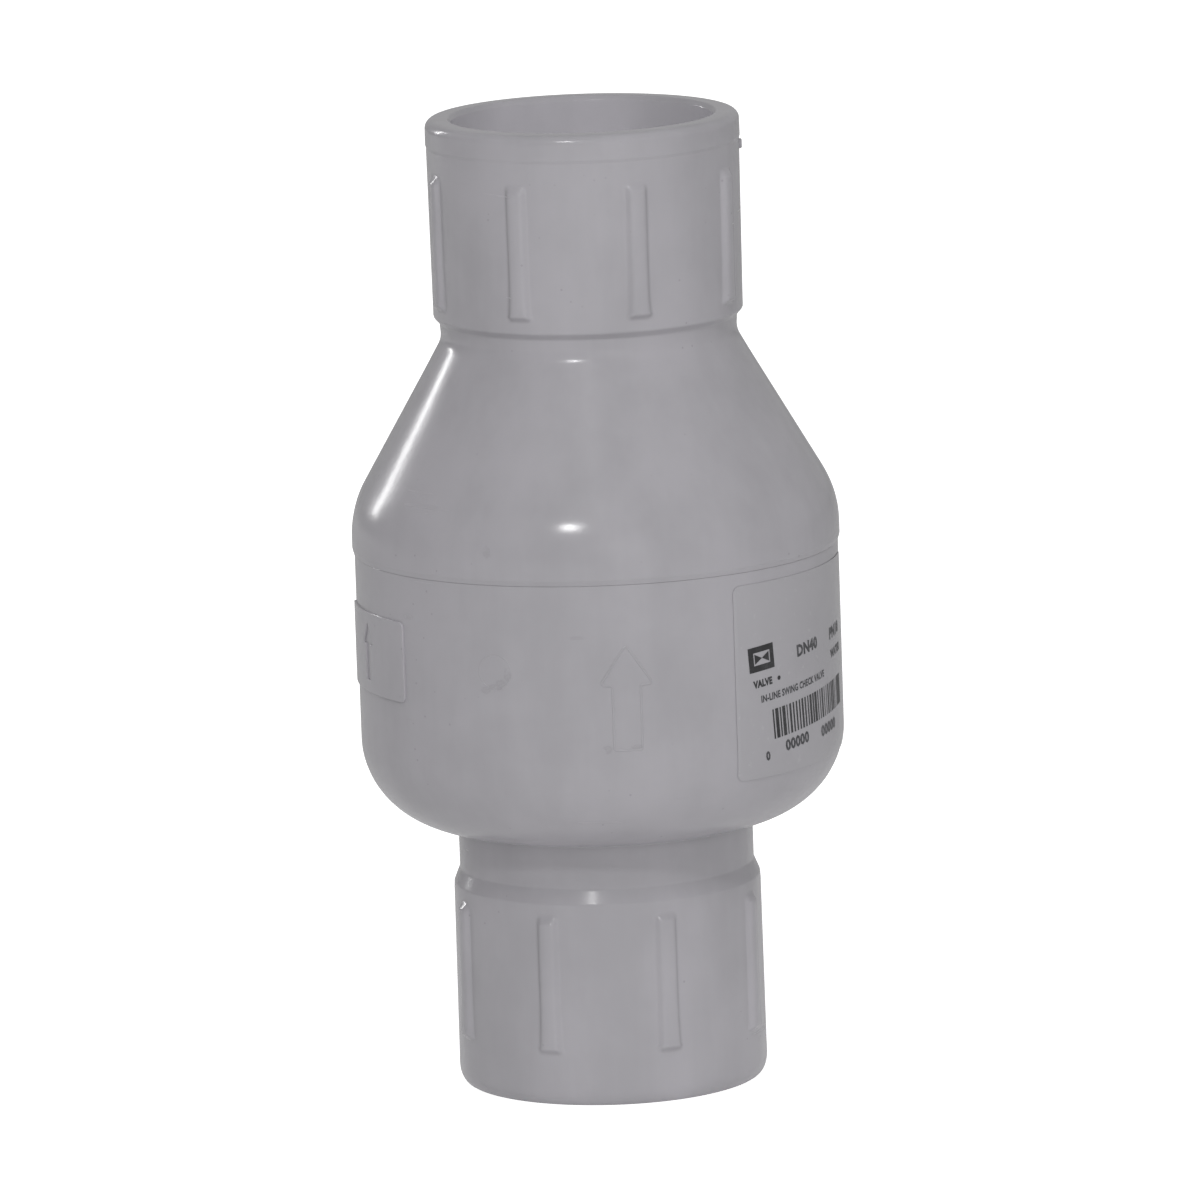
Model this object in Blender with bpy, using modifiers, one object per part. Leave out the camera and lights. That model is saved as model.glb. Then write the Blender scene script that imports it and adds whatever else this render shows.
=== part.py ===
"""In-line swing check valve for 1-1/2 inch pipe, in rigid PVC, with socket ends.

The valve stands on its inlet rim. The flow runs up +Z, and the origin is on the
valve's axis, at the inlet rim. The flapper's hinge runs along X, on the +Y side.
Lengths below are in millimetres, and MM turns them into Blender's metres.
"""

import bpy
import bmesh
from math import atan, cos, pi, radians, sin, tan
from mathutils import Matrix, Vector

MM = 0.001

# --- driving dimensions, mm ---
LENGTH = 182.0            # rim to rim
GAP = 0.3                 # clearance kept between pieces that touch
CASING_STEPS = 48         # facets of the casings
DISC_STEPS = 36           # facets of the seat and the flapper's round pieces
SMALL_STEPS = 16          # facets of pins, bushes and screws

# pipe sockets and waterway (1-1/2 inch schedule 40)
SOCKET_MOUTH_R = 24.33
SOCKET_STOP_R = 24.1
SOCKET_DEPTH = 35.0
WATERWAY_R = 20.45

# hubs, the ribbed ends
HUB_RIM_R = 28.95
HUB_NECK_END_R = 28.6
RIM_ROUND = 1.6
INLET_RIM_ROUND = (1.8, 3.4)   # inward, upward
NECK_R = 27.6
INLET_HUB_TOP = 38.2
OUTLET_HUB_BOTTOM = 145.2
RIB_COUNT = 8
RIB_PROUD = 1.3
RIB_WIDTH = 5.0
RIB_TOP_WIDTH = 4.0
INLET_RIB_Z = (10.2, 35.7)
OUTLET_RIB_Z = (147.8, 172.4)

# bulb: dome, barrel, bead and cone
BARREL_R = 45.1
BARREL_INNER_R = 40.4
DOME_BOTTOM = 49.4
DOME_TOP = 66.3
SEAM_Z = 101.2
BEAD_R = 45.5
CONE_EDGE_Z = 108.9       # where the cone would meet the bead if it were sharp
CONE_TOP_Z = 140.5
SHOULDER_ROUND = 9.0
CONE_WALL = 4.4
SPIGOT_R = 42.7
SPIGOT_TOP = 109.2

# seat
SEAT_FLOOR = 56.0
SEAT_POCKET_R = 26.3
SEAT_BOSS_R = 30.0
SEAT_BOSS_TOP = 69.4
SEAT_TOP = 66.6
SEAT_LIP_TOP = 67.5
SNAP_GROOVE_R = 27.6

# hinge and flapper
HINGE_Y = 31.0
HINGE_Z = 75.4
PIN_R = 1.5
PIN_HALF = 13.6
EAR_INNER_X = 9.0
EAR_THICK = 2.4
BRACKET_BASE = (18.0, 30.4, 35.5, SEAT_TOP - GAP, 68.6)   # half width, y, y, z, z
PAD_TOP = 66.0
SCREW_X = 14.9
SCREW_Y = 33.0
KNUCKLE_R = 4.4
KNUCKLE_X = (4.8, 7.7)
DISC_R = 24.5
FACING_Z = (67.8, 70.3)
DISC_Z = (70.6, 73.4)
ARM_Z = (73.7, 77.2)
BOLT_R = 2.5
BOLT_HOLE_R = BOLT_R + GAP
BUMPER_Y = -17.0
BUMPER_TOP = 80.5

# closing spring
SPRING_R = 2.5
SPRING_WIRE_R = 0.35
SPRING_HALF = 3.4
SPRING_TURNS = 7

# label, a film on the barrel
LABEL_R = 45.25
LABEL_THICK = 0.2
LABEL_AZIMUTH = (13.0, 67.0)
LABEL_Z = (62.0, 99.0)


# --- scene and materials ---

def clear_scene():
    for obj in list(bpy.data.objects):
        bpy.data.objects.remove(obj)


def new_collection(name):
    collection = bpy.data.collections.new(name)
    bpy.context.scene.collection.children.link(collection)
    return collection


def material(name, colour, roughness, metallic=0.0):
    mat = bpy.data.materials.new(name)
    mat.use_nodes = True
    shader = mat.node_tree.nodes["Principled BSDF"]
    shader.inputs["Base Color"].default_value = (*colour, 1.0)
    shader.inputs["Roughness"].default_value = roughness
    shader.inputs["Metallic"].default_value = metallic
    mat.diffuse_color = (*colour, 1.0)
    return mat


clear_scene()
PARTS = new_collection("swing_check_valve")
CUTTERS = new_collection("cutters")

PVC = material("pvc_grey", (0.42, 0.41, 0.43), 0.25)
SEAT_PVC = material("pvc_dark", (0.2, 0.2, 0.21), 0.35)
EPDM = material("epdm_black", (0.02, 0.02, 0.02), 0.7)
STEEL = material("stainless_steel", (0.6, 0.6, 0.6), 0.3, 1.0)
ACETAL = material("acetal_white", (0.75, 0.74, 0.7), 0.4)
FILM = material("label_film", (0.7, 0.7, 0.7), 0.2)


# --- helpers ---

def add_object(name, mesh, mat, collection=None):
    obj = bpy.data.objects.new(name, mesh)
    (collection or PARTS).objects.link(obj)
    if mat:
        mesh.materials.append(mat)
    return obj


def as_cutter(obj):
    obj.hide_render = True
    obj.display_type = "WIRE"
    return obj


def arc(centre_r, centre_z, radius, start, end, count, radius_z=None):
    """Points on an arc of a profile, angles in degrees from +r towards +z."""
    radius_z = radius if radius_z is None else radius_z
    angles = [radians(start + (end - start) * i / count) for i in range(count + 1)]
    return [(centre_r + radius * cos(a), centre_z + radius_z * sin(a)) for a in angles]


def turned(name, profile, mat, steps=DISC_STEPS, closed=True, collection=None):
    """A profile of (r, z) points, down its outer side first, turned round Z."""
    mesh = bpy.data.meshes.new(name)
    count = len(profile)
    edges = [(i, i + 1) for i in range(count - 1)]
    if closed:
        edges.append((count - 1, 0))
    mesh.from_pydata([(r * MM, 0, z * MM) for r, z in profile], edges, [])
    obj = add_object(name, mesh, mat, collection)
    screw = obj.modifiers.new("turn", "SCREW")
    screw.angle = 2 * pi
    screw.steps = steps
    screw.render_steps = steps
    screw.use_merge_vertices = True
    screw.merge_threshold = 0.00001
    screw.use_smooth_shade = False
    return obj


def ring(name, inner, outer, low, high, mat, **options):
    profile = [(outer, high), (outer, low), (inner, low), (inner, high)]
    return turned(name, profile, mat, **options)


def rod(name, radius, low, high, mat=None, steps=SMALL_STEPS, chamfer=0.0, collection=None):
    profile = [(0, high), (radius, high), (radius, low), (0, low)]
    if chamfer:
        profile[1:3] = [(radius - chamfer, high), (radius, high - chamfer),
                        (radius, low + chamfer), (radius - chamfer, low)]
    return turned(name, profile, mat, steps, closed=False, collection=collection)


def box(name, low, high, mat=None, bevel=0.0, collection=None):
    mesh = bpy.data.meshes.new(name)
    bm = bmesh.new()
    bmesh.ops.create_cube(bm, size=1.0)
    size = [(b - a) * MM for a, b in zip(low, high)]
    middle = [(b + a) * MM / 2 for a, b in zip(low, high)]
    bmesh.ops.scale(bm, vec=size, verts=bm.verts)
    bmesh.ops.translate(bm, vec=middle, verts=bm.verts)
    if bevel:
        bmesh.ops.bevel(bm, geom=bm.edges[:], offset=bevel * MM, segments=1, affect="EDGES")
    bm.to_mesh(mesh)
    bm.free()
    return add_object(name, mesh, mat, collection)


def plate(name, outlines, thickness, mat=None, collection=None):
    """Closed outlines of (x, y) points, holes after the outer one, made a flat plate."""
    curve = bpy.data.curves.new(name, "CURVE")
    curve.dimensions = "2D"
    curve.fill_mode = "BOTH"
    curve.extrude = thickness * MM / 2
    for outline in outlines:
        spline = curve.splines.new("POLY")
        spline.points.add(len(outline) - 1)
        for point, (x, y) in zip(spline.points, outline):
            point.co = (x * MM, y * MM, 0, 1)
        spline.use_cyclic_u = True
    return curve_to_mesh(name, curve, mat, collection)


def curve_to_mesh(name, curve, mat, collection=None):
    source = bpy.data.objects.new(name + "_curve", curve)
    bpy.context.scene.collection.objects.link(source)
    bpy.context.view_layer.update()
    evaluated = source.evaluated_get(bpy.context.evaluated_depsgraph_get())
    mesh = bpy.data.meshes.new_from_object(evaluated)
    bm = bmesh.new()
    bm.from_mesh(mesh)
    bmesh.ops.remove_doubles(bm, verts=bm.verts, dist=0.000005)
    bmesh.ops.recalc_face_normals(bm, faces=bm.faces)
    bm.to_mesh(mesh)
    bm.free()
    bpy.data.objects.remove(source)
    return add_object(name, mesh, mat, collection)


def combine(obj, other, operation):
    modifier = obj.modifiers.new(operation.lower(), "BOOLEAN")
    modifier.operation = operation
    modifier.object = as_cutter(other)
    modifier.solver = "EXACT"


def place(obj, location=(0, 0, 0), rotation=(0, 0, 0)):
    obj.location = [v * MM for v in location]
    obj.rotation_euler = [radians(v) for v in rotation]
    return obj


# --- casings ---

def rib_set(name, low, high):
    """The grip ribs of one hub: tapered bars that reach a little into its wall."""
    mesh = bpy.data.meshes.new(name)
    bm = bmesh.new()
    inner = HUB_NECK_END_R - 2.0
    outer = HUB_NECK_END_R + RIB_PROUD
    for i in range(RIB_COUNT):
        made = bmesh.ops.create_cube(bm, size=1.0)
        verts = made["verts"]
        for v in verts:
            top = v.co.x > 0
            width = RIB_TOP_WIDTH if top else RIB_WIDTH + 1.2
            inset = 0.7 if top else 0.0
            z = high - inset if v.co.z > 0 else low + inset
            v.co = Vector((outer if top else inner, width * v.co.y, z)) * MM
        turn = Matrix.Rotation(2 * pi * i / RIB_COUNT - pi / 2, 3, "Z")
        bmesh.ops.rotate(bm, verts=verts, cent=(0, 0, 0), matrix=turn)
    bm.to_mesh(mesh)
    bm.free()
    return add_object(name, mesh, None, CUTTERS)


def cone_slope():
    """Radius lost for each mm of height on the cone."""
    return (BEAD_R - (NECK_R - 0.1)) / (CONE_TOP_Z - CONE_EDGE_Z)


def outlet_casing():
    slope = cone_slope()
    tilt = atan(slope)
    reach = SHOULDER_ROUND * tan(tilt / 2)
    shoulder = arc(BEAD_R - SHOULDER_ROUND, CONE_EDGE_Z - reach, SHOULDER_ROUND,
                   tilt * 180 / pi, 0, 4)
    wall = CONE_WALL / cos(tilt)
    inner_edge = BEAD_R - slope * (SPIGOT_TOP + GAP - CONE_EDGE_Z) - wall
    inner_top = SPIGOT_TOP + GAP + (inner_edge - WATERWAY_R) / slope
    rim = arc(HUB_RIM_R - RIM_ROUND, LENGTH - RIM_ROUND, RIM_ROUND, 90, 0, 2)
    stop_z = LENGTH - SOCKET_DEPTH
    profile = (
        rim
        + [(HUB_NECK_END_R, OUTLET_HUB_BOTTOM), (NECK_R + 0.5, OUTLET_HUB_BOTTOM - 1.6)]
        + [(NECK_R - 0.1, OUTLET_HUB_BOTTOM - 3.4), (NECK_R + 0.15, CONE_TOP_Z - 0.5)]
        + shoulder
        + [(BEAD_R, SEAM_Z + 0.9), (BEAD_R - 0.4, SEAM_Z + GAP / 2)]
        + [(SPIGOT_R + GAP, SEAM_Z + GAP / 2), (SPIGOT_R + GAP, SPIGOT_TOP + GAP)]
        + [(inner_edge, SPIGOT_TOP + GAP), (WATERWAY_R, inner_top)]
        + [(WATERWAY_R, stop_z), (SOCKET_STOP_R, stop_z)]
        + [(SOCKET_MOUTH_R, LENGTH - 1.0), (SOCKET_MOUTH_R + 0.7, LENGTH)]
    )
    casing = turned("outlet_casing", profile, PVC, CASING_STEPS)
    combine(casing, rib_set("outlet_ribs", *OUTLET_RIB_Z), "UNION")
    return casing


def inlet_casing():
    inward, upward = INLET_RIM_ROUND
    rim = arc(HUB_RIM_R - inward, upward, inward, 0, -90, 3, upward)
    width = BARREL_R - NECK_R
    dome = arc(NECK_R, DOME_TOP, width, 0, -90, 7, DOME_TOP - DOME_BOTTOM)
    inner_width = BARREL_INNER_R - NECK_R
    inner_drop = DOME_TOP - DOME_BOTTOM - 4.3
    start = -90 + 180 / pi * atan((SEAT_BOSS_R - NECK_R) / inner_width)
    pocket = arc(NECK_R, DOME_TOP, inner_width, start, 0, 4, inner_drop)
    profile = (
        [(SPIGOT_R - 0.4, SPIGOT_TOP), (SPIGOT_R, SPIGOT_TOP - 0.6)]
        + [(SPIGOT_R, SEAM_Z - GAP / 2), (BARREL_R - 0.2, SEAM_Z - GAP / 2)]
        + [(BARREL_R, SEAM_Z - GAP / 2 - 0.3)]
        + dome
        + [(NECK_R - 0.1, DOME_BOTTOM - 0.8), (NECK_R - 0.1, INLET_HUB_TOP + 2.6)]
        + [(NECK_R + 0.5, INLET_HUB_TOP + 1.4), (HUB_NECK_END_R, INLET_HUB_TOP)]
        + rim
        + [(SOCKET_MOUTH_R + 0.7, 0), (SOCKET_MOUTH_R, 1.0)]
        + [(SOCKET_STOP_R, SOCKET_DEPTH), (WATERWAY_R, SOCKET_DEPTH)]
        + [(WATERWAY_R, SEAT_FLOOR), (SEAT_POCKET_R, SEAT_FLOOR)]
        + [(SEAT_POCKET_R, SEAT_TOP), (SNAP_GROOVE_R, SEAT_TOP)]
        + [(SNAP_GROOVE_R, SEAT_TOP + 1.6), (SEAT_POCKET_R, SEAT_TOP + 1.6)]
        + [(SEAT_POCKET_R + 0.3, SEAT_BOSS_TOP), (SEAT_BOSS_R, SEAT_BOSS_TOP)]
        + pocket
        + [(BARREL_INNER_R, SPIGOT_TOP)]
    )
    casing = turned("inlet_casing", profile, PVC, CASING_STEPS)
    combine(casing, rib_set("inlet_ribs", *INLET_RIB_Z), "UNION")
    half, y0, y1 = BRACKET_BASE[:3]
    pad = box("bracket_pad", (-half - GAP, 28.5, 54.6), (half + GAP, y1 + GAP, PAD_TOP),
              collection=CUTTERS)
    combine(casing, pad, "UNION")
    for side in (-1, 1):
        hole = rod("pad_hole", 1.2 + GAP, 58.6, PAD_TOP + 3.0, collection=CUTTERS)
        combine(casing, place(hole, (side * SCREW_X, SCREW_Y, 0)), "DIFFERENCE")
    return casing


# --- seat ---

def seat_ring():
    outer = SEAT_POCKET_R - GAP
    groove_r = outer - 2.2
    profile = [
        (outer - 0.3, SEAT_TOP), (outer, SEAT_TOP - 0.3), (outer, 63.2), (groove_r, 63.2),
        (groove_r, 59.8), (outer, 59.8), (outer, SEAT_FLOOR + GAP),
        (WATERWAY_R, SEAT_FLOOR + GAP), (WATERWAY_R, SEAT_LIP_TOP - 0.5),
        (WATERWAY_R + 0.7, SEAT_LIP_TOP), (WATERWAY_R + 2.2, SEAT_LIP_TOP),
        (WATERWAY_R + 2.9, SEAT_TOP),
    ]
    return turned("seat_ring", profile, SEAT_PVC)


def seat_oring():
    radius = 0.95
    centre = SEAT_POCKET_R - GAP - radius
    profile = arc(centre, 61.5, radius, 90, -270, 8)[:-1]
    return turned("seat_oring", profile, EPDM)


def seat_snap_ring():
    low = SEAT_TOP + GAP
    snap = ring("seat_snap_ring", 25.0, SNAP_GROOVE_R - GAP, low, low + 1.0, STEEL)
    gap = box("snap_gap", (-2.2, -30, low - 1), (2.2, -20, low + 2), collection=CUTTERS)
    combine(snap, gap, "DIFFERENCE")
    return snap


# --- hinge, fixed side ---

def ear_outline():
    """Side view of an ear, (y, z): upright from the base, round about the pin."""
    y0, y1, low, top = BRACKET_BASE[1:]
    head = arc(HINGE_Y, HINGE_Z, KNUCKLE_R, 20, 190, 8)
    return [(y1 - 0.2, top - 1.0)] + head + [(y0 + 0.2, top + 1.6), (y0 + 0.2, top - 1.0)]


def hinge_bracket():
    half, y0, y1, low, top = BRACKET_BASE
    bracket = box("hinge_bracket", (-half, y0, low), (half, y1, top), STEEL, bevel=0.3)
    for side in (-1, 1):
        ear = plate("bracket_ear", [ear_outline()], EAR_THICK, collection=CUTTERS)
        centre_x = side * (EAR_INNER_X + EAR_THICK / 2)
        combine(bracket, place(ear, (centre_x, 0, 0), (90, 0, 90)), "UNION")
    bore = rod("bracket_bore", PIN_R + GAP, -20, 20, collection=CUTTERS)
    combine(bracket, place(bore, (0, HINGE_Y, HINGE_Z), (0, 90, 0)), "DIFFERENCE")
    for side in (-1, 1):
        hole = rod("bracket_hole", 1.2 + GAP, 60, 75, collection=CUTTERS)
        combine(bracket, place(hole, (side * SCREW_X, SCREW_Y, 0)), "DIFFERENCE")
    return bracket


def bracket_screws():
    seat = BRACKET_BASE[4] + GAP
    profile = (
        [(0, seat + 2.0)] + arc(0, seat + 0.6, 2.4, 60, 0, 2, 1.4) + [(2.4, seat)]
        + [(1.2, seat), (1.2, 60.8), (0.3, 59.2), (0, 59.2)]
    )
    for name, side in (("bracket_screw_left", -1), ("bracket_screw_right", 1)):
        screw = turned(name, profile, STEEL, SMALL_STEPS, closed=False)
        place(screw, (side * SCREW_X, SCREW_Y, 0))


def hinge_pin():
    groove = (11.5, 12.55)
    half = [
        (0, PIN_HALF), (PIN_R - 0.3, PIN_HALF), (PIN_R, PIN_HALF - 0.3), (PIN_R, groove[1]),
        (PIN_R - 0.45, groove[1]), (PIN_R - 0.45, groove[0]), (PIN_R, groove[0]),
    ]
    profile = half + [(r, -x) for r, x in reversed(half)]
    pin = turned("hinge_pin", profile, STEEL, SMALL_STEPS, closed=False)
    return place(pin, (0, HINGE_Y, HINGE_Z), (0, 90, 0))


def pin_clips():
    """Clips that hold the pin: C shapes in its grooves, open towards +Y."""
    mouth = 38.0
    outside = arc(0, 0, 3.2, mouth, 360 - mouth, 16)
    inside = arc(0, 0, PIN_R - 0.45 + GAP, 360 - mouth, mouth, 12)
    for name, side in (("pin_clip_left", -1), ("pin_clip_right", 1)):
        clip = plate(name, [outside + inside], 0.45, STEEL)
        place(clip, (side * 12.03, HINGE_Y, HINGE_Z), (90, 0, 90))


def closing_spring():
    """A torsion coil on the pin. One leg lies on the bracket, one on the arm."""
    per_turn = 10
    count = SPRING_TURNS * per_turn
    low_y = HINGE_Y - SPRING_R
    leg_z = ARM_Z[1] + GAP + SPRING_WIRE_R + 0.05
    base_z = BRACKET_BASE[4] + GAP + SPRING_WIRE_R
    points = [
        (-SPRING_HALF, 34.8, base_z), (-SPRING_HALF, 31.6, base_z + 0.5),
        (-SPRING_HALF, 29.6, base_z + 1.6), (-SPRING_HALF, 28.7, base_z + 3.2),
    ]
    for i in range(count + 1):
        angle = pi - 2 * pi * i / per_turn
        x = -SPRING_HALF + 2 * SPRING_HALF * i / count
        points.append((x, HINGE_Y + SPRING_R * cos(angle), HINGE_Z + SPRING_R * sin(angle)))
    points += [
        (SPRING_HALF, low_y, leg_z - 1.0), (SPRING_HALF, low_y - 0.4, leg_z - 0.2),
        (SPRING_HALF, low_y - 1.2, leg_z), (SPRING_HALF, 19.0, leg_z),
    ]
    curve = bpy.data.curves.new("closing_spring", "CURVE")
    curve.dimensions = "3D"
    curve.bevel_depth = SPRING_WIRE_R * MM
    curve.bevel_resolution = 2
    curve.use_fill_caps = True
    spline = curve.splines.new("POLY")
    spline.points.add(len(points) - 1)
    for point, place_mm in zip(spline.points, points):
        point.co = (*(v * MM for v in place_mm), 1)
    return curve_to_mesh("closing_spring", curve, STEEL)


# --- flapper ---

def pin_bushes():
    """Flanged bushes in the arm's knuckles, their flanges towards the ears."""
    inner, outer, flange = PIN_R + 0.1, KNUCKLE_R - 1.8, KNUCKLE_R - 0.5
    near, far, tip = KNUCKLE_X[0], KNUCKLE_X[1] + GAP, EAR_INNER_X - GAP
    profile = [(flange, tip), (flange, far), (outer, far), (outer, near), (inner, near),
               (inner, tip)]
    for name, turn in (("pin_bush_left", -90), ("pin_bush_right", 90)):
        bush = turned(name, profile, ACETAL, SMALL_STEPS)
        place(bush, (0, HINGE_Y, HINGE_Z), (0, turn, 0))


def arm_outline():
    """Top view of the arm: a fork at the knuckles, round about the bolt."""
    inside, outside = KNUCKLE_X[0] + 0.2, KNUCKLE_X[1] - 0.25
    end_y = HINGE_Y - KNUCKLE_R + 0.9
    right = [(inside, end_y - 3.0), (inside, end_y), (outside, end_y), (outside, 22.0),
             (6.2, 12.0)]
    nose = arc(0, 0, 8.5, 45, -225, 12)
    return right + nose + [(-x, y) for x, y in reversed(right)]


def flapper_arm():
    thick = ARM_Z[1] - ARM_Z[0]
    hole = arc(0, 0, BOLT_HOLE_R, 0, 360, SMALL_STEPS)[:-1]
    arm = plate("flapper_arm", [arm_outline(), hole], thick, SEAT_PVC)
    place(arm, (0, 0, (ARM_Z[0] + ARM_Z[1]) / 2))
    for low, high in (KNUCKLE_X, (-KNUCKLE_X[1], -KNUCKLE_X[0])):
        tube = rod("arm_knuckle", KNUCKLE_R, low, high, collection=CUTTERS)
        combine(arm, place(tube, (0, HINGE_Y, HINGE_Z), (0, 90, 0)), "UNION")
    bore = rod("arm_bore", KNUCKLE_R - 1.8 + GAP, -20, 20, collection=CUTTERS)
    combine(arm, place(bore, (0, HINGE_Y, HINGE_Z), (0, 90, 0)), "DIFFERENCE")
    return arm


def flapper_disc():
    low, top = DISC_Z
    profile = [
        (8.0, top), (9.0, top - 0.6), (DISC_R - 2.2, top - 0.6), (DISC_R, top - 1.1),
        (DISC_R, low), (BOLT_HOLE_R, low), (BOLT_HOLE_R, top),
    ]
    disc = turned("flapper_disc", profile, SEAT_PVC)
    well = rod("bumper_well", 3.0 + GAP, top - 1.6, top + 5, collection=CUTTERS)
    combine(disc, place(well, (0, BUMPER_Y, 0)), "DIFFERENCE")
    return disc


def disc_facing():
    low, top = FACING_Z
    profile = [(DISC_R - 0.2, top), (DISC_R - 0.2, low + 0.5), (DISC_R - 0.7, low),
               (BOLT_HOLE_R, low), (BOLT_HOLE_R, top)]
    return turned("disc_facing", profile, EPDM)


def facing_retainer():
    top = FACING_Z[0] - GAP
    profile = [(17.5, top), (17.5, top - 1.0), (16.6, top - 1.9), (BOLT_HOLE_R, top - 1.9),
               (BOLT_HOLE_R, top)]
    return turned("facing_retainer", profile, STEEL)


def disc_bolt():
    under = FACING_Z[0] - GAP - 1.9 - GAP
    bolt = rod("disc_bolt", BOLT_R, under - 1.5, 83.4, STEEL, chamfer=0.4)
    head = rod("bolt_head", 4.62, under - 3.3, under, steps=6, chamfer=0.35,
               collection=CUTTERS)
    combine(bolt, head, "UNION")
    return bolt


def disc_washer():
    low = ARM_Z[1] + GAP
    return ring("disc_washer", BOLT_HOLE_R, 5.5, low, low + 1.0, STEEL, steps=SMALL_STEPS)


def disc_nut():
    low = ARM_Z[1] + 1.0 + 2 * GAP
    nut = rod("disc_nut", 4.62, low, low + 3.5, STEEL, steps=6, chamfer=0.35)
    hole = rod("nut_hole", BOLT_HOLE_R, low - 5, low + 9, collection=CUTTERS)
    combine(nut, hole, "DIFFERENCE")
    return nut


def stop_bumper():
    low = DISC_Z[1] - 1.6 + GAP
    profile = [(0, BUMPER_TOP)] + arc(0.8, BUMPER_TOP - 2.2, 2.2, 90, 0, 3) + [(3.0, low), (0, low)]
    bumper = turned("stop_bumper", profile, EPDM, SMALL_STEPS, closed=False)
    return place(bumper, (0, BUMPER_Y, 0))


# --- label ---

def label():
    """A thin film wrapped on the barrel, azimuth measured from -Y towards +X."""
    mesh = bpy.data.meshes.new("label")
    bm = bmesh.new()
    bmesh.ops.create_grid(bm, x_segments=12, y_segments=1, size=0.5)
    for v in bm.verts:
        azimuth = LABEL_AZIMUTH[0] + (v.co.x + 0.5) * (LABEL_AZIMUTH[1] - LABEL_AZIMUTH[0])
        angle = radians(azimuth - 90)
        z = LABEL_Z[0] + (v.co.y + 0.5) * (LABEL_Z[1] - LABEL_Z[0])
        v.co = Vector((LABEL_R * cos(angle), LABEL_R * sin(angle), z)) * MM
    bm.to_mesh(mesh)
    bm.free()
    film = add_object("label", mesh, FILM)
    solid = film.modifiers.new("thickness", "SOLIDIFY")
    solid.thickness = LABEL_THICK * MM
    solid.offset = 1.0
    return film


def main():
    outlet_casing()
    inlet_casing()
    seat_ring()
    seat_oring()
    seat_snap_ring()
    hinge_bracket()
    bracket_screws()
    hinge_pin()
    pin_clips()
    closing_spring()
    pin_bushes()
    flapper_arm()
    flapper_disc()
    disc_facing()
    facing_retainer()
    disc_bolt()
    disc_washer()
    disc_nut()
    stop_bumper()
    label()


main()
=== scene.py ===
"""The looks of an in-line swing check valve in grey PVC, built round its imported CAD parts.

The valve stands on its inlet rim with the flow up +Z. Azimuths on the body are in
degrees from -Y towards +X. Lengths are in millimetres; MM turns them into metres.
"""

from math import atan, atan2, cos, degrees, hypot, pi, radians, sin, tan

import bmesh
import bpy
from mathutils import Matrix, Vector


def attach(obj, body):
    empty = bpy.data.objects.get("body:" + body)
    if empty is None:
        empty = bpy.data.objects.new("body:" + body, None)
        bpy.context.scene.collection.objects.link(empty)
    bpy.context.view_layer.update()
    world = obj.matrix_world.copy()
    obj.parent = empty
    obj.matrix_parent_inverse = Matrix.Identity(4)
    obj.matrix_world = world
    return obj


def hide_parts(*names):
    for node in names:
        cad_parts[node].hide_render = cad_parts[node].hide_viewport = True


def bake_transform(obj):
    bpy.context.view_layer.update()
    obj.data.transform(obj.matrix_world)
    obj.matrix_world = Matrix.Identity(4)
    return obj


MM = 0.001
FIXED, MOVING = "valve_body", "flapper"

# casings
LENGTH = 182.0
SOCKET_DEPTH = 35.0
WATERWAY_R = 20.45
BARREL_R = 45.1
BEAD_R = 45.48
SEAM_Z = 101.2
CONE_EDGE_Z = 109.5
CONE_TOP = (27.6, 140.5)
SHOULDER_ROUND = 20.0
SPIGOT_R = (40.4, 42.7, 43.0)        # bore, outside, bore of the rebate round it
SPIGOT_TOP = 109.2
DOME = (27.6, 66.3, 17.5, 16.9)      # centre r, centre z, reach in r, reach in z
POCKET = (27.6, 66.3, 12.8, 12.6)
NECK_R = 27.55
SOCKET_R = (24.33, 24.1)             # at the mouth, at the pipe stop
GATE_NUB = (69.0, 28.9, 175.6)       # azimuth, r, z

# grip ribs
RIB_COUNT = 8
RIB_FACES_AT = -90.0
OUTLET_RIBS = (-0.8, 147.9, 172.3, 27.2)     # turn, low z, high z, r that ribs stay outside
INLET_RIBS = (1.5, 10.3, 35.6, 27.4)
RIB_HALF_WIDTH = 1.65
RIB_EDGE = 0.7
RIB_PROUD = 1.0
RIB_RAMP = 1.2
RIB_FLARE = (0.45, 2.2)              # how far, over what height
RIB_SIDE_STEPS = (0.0, 0.8, 1.3, 1.55, 1.75, 1.95, 2.15, 2.35, 2.6, 2.9, 3.5, 5.2, 7.0, 9.0)
RIB_END_STEPS = (-2.4, -1.6, -1.2, -0.9, -0.6, -0.3, 0, 0.25, 0.5, 0.7, 1.0)
HUB_MEAN_R = 28.7

# hinge and flapper
HINGE = (0.0, 31.0, 75.4)
PIN_R = 1.5
KNUCKLE_R = 4.4
KNUCKLE_X = (4.8, 7.7)
EAR_X = (9.0, 11.4)
SCREW_AT = (14.9, 33.0)
BRACKET_TOP = 68.6
DISC_R = 24.5
ARM_Z = (73.7, 77.2)
BUMPER_Y = -17.0
HEX_CORNER_R = 4.62
HEX_TURNED_OFF = 0.62

# wear on the barrel: azimuth, z, width, height
WEAR_MARKS = (
    (-46.5, 107.3, 0.9, 1.7), (-45.5, 82.0, 1.9, 1.0), (-48.0, 81.6, 1.3, 0.9),
    (-42.2, 84.6, 1.0, 1.6), (-44.0, 83.0, 1.2, 0.9), (-25.5, 91.6, 2.2, 0.4),
    (-71.0, 93.6, 1.6, 0.7), (-19.0, 70.6, 1.2, 1.0), (-12.0, 70.9, 1.5, 0.6),
    (140.0, 88.0, 2.0, 1.0),
)

# label
LABEL_SPAN = (13.2, 66.8)
LABEL_Z = (62.2, 98.8)
LABEL_TURN = 4.5
FILM_R = 45.22
PRINT_R = 45.25

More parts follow.
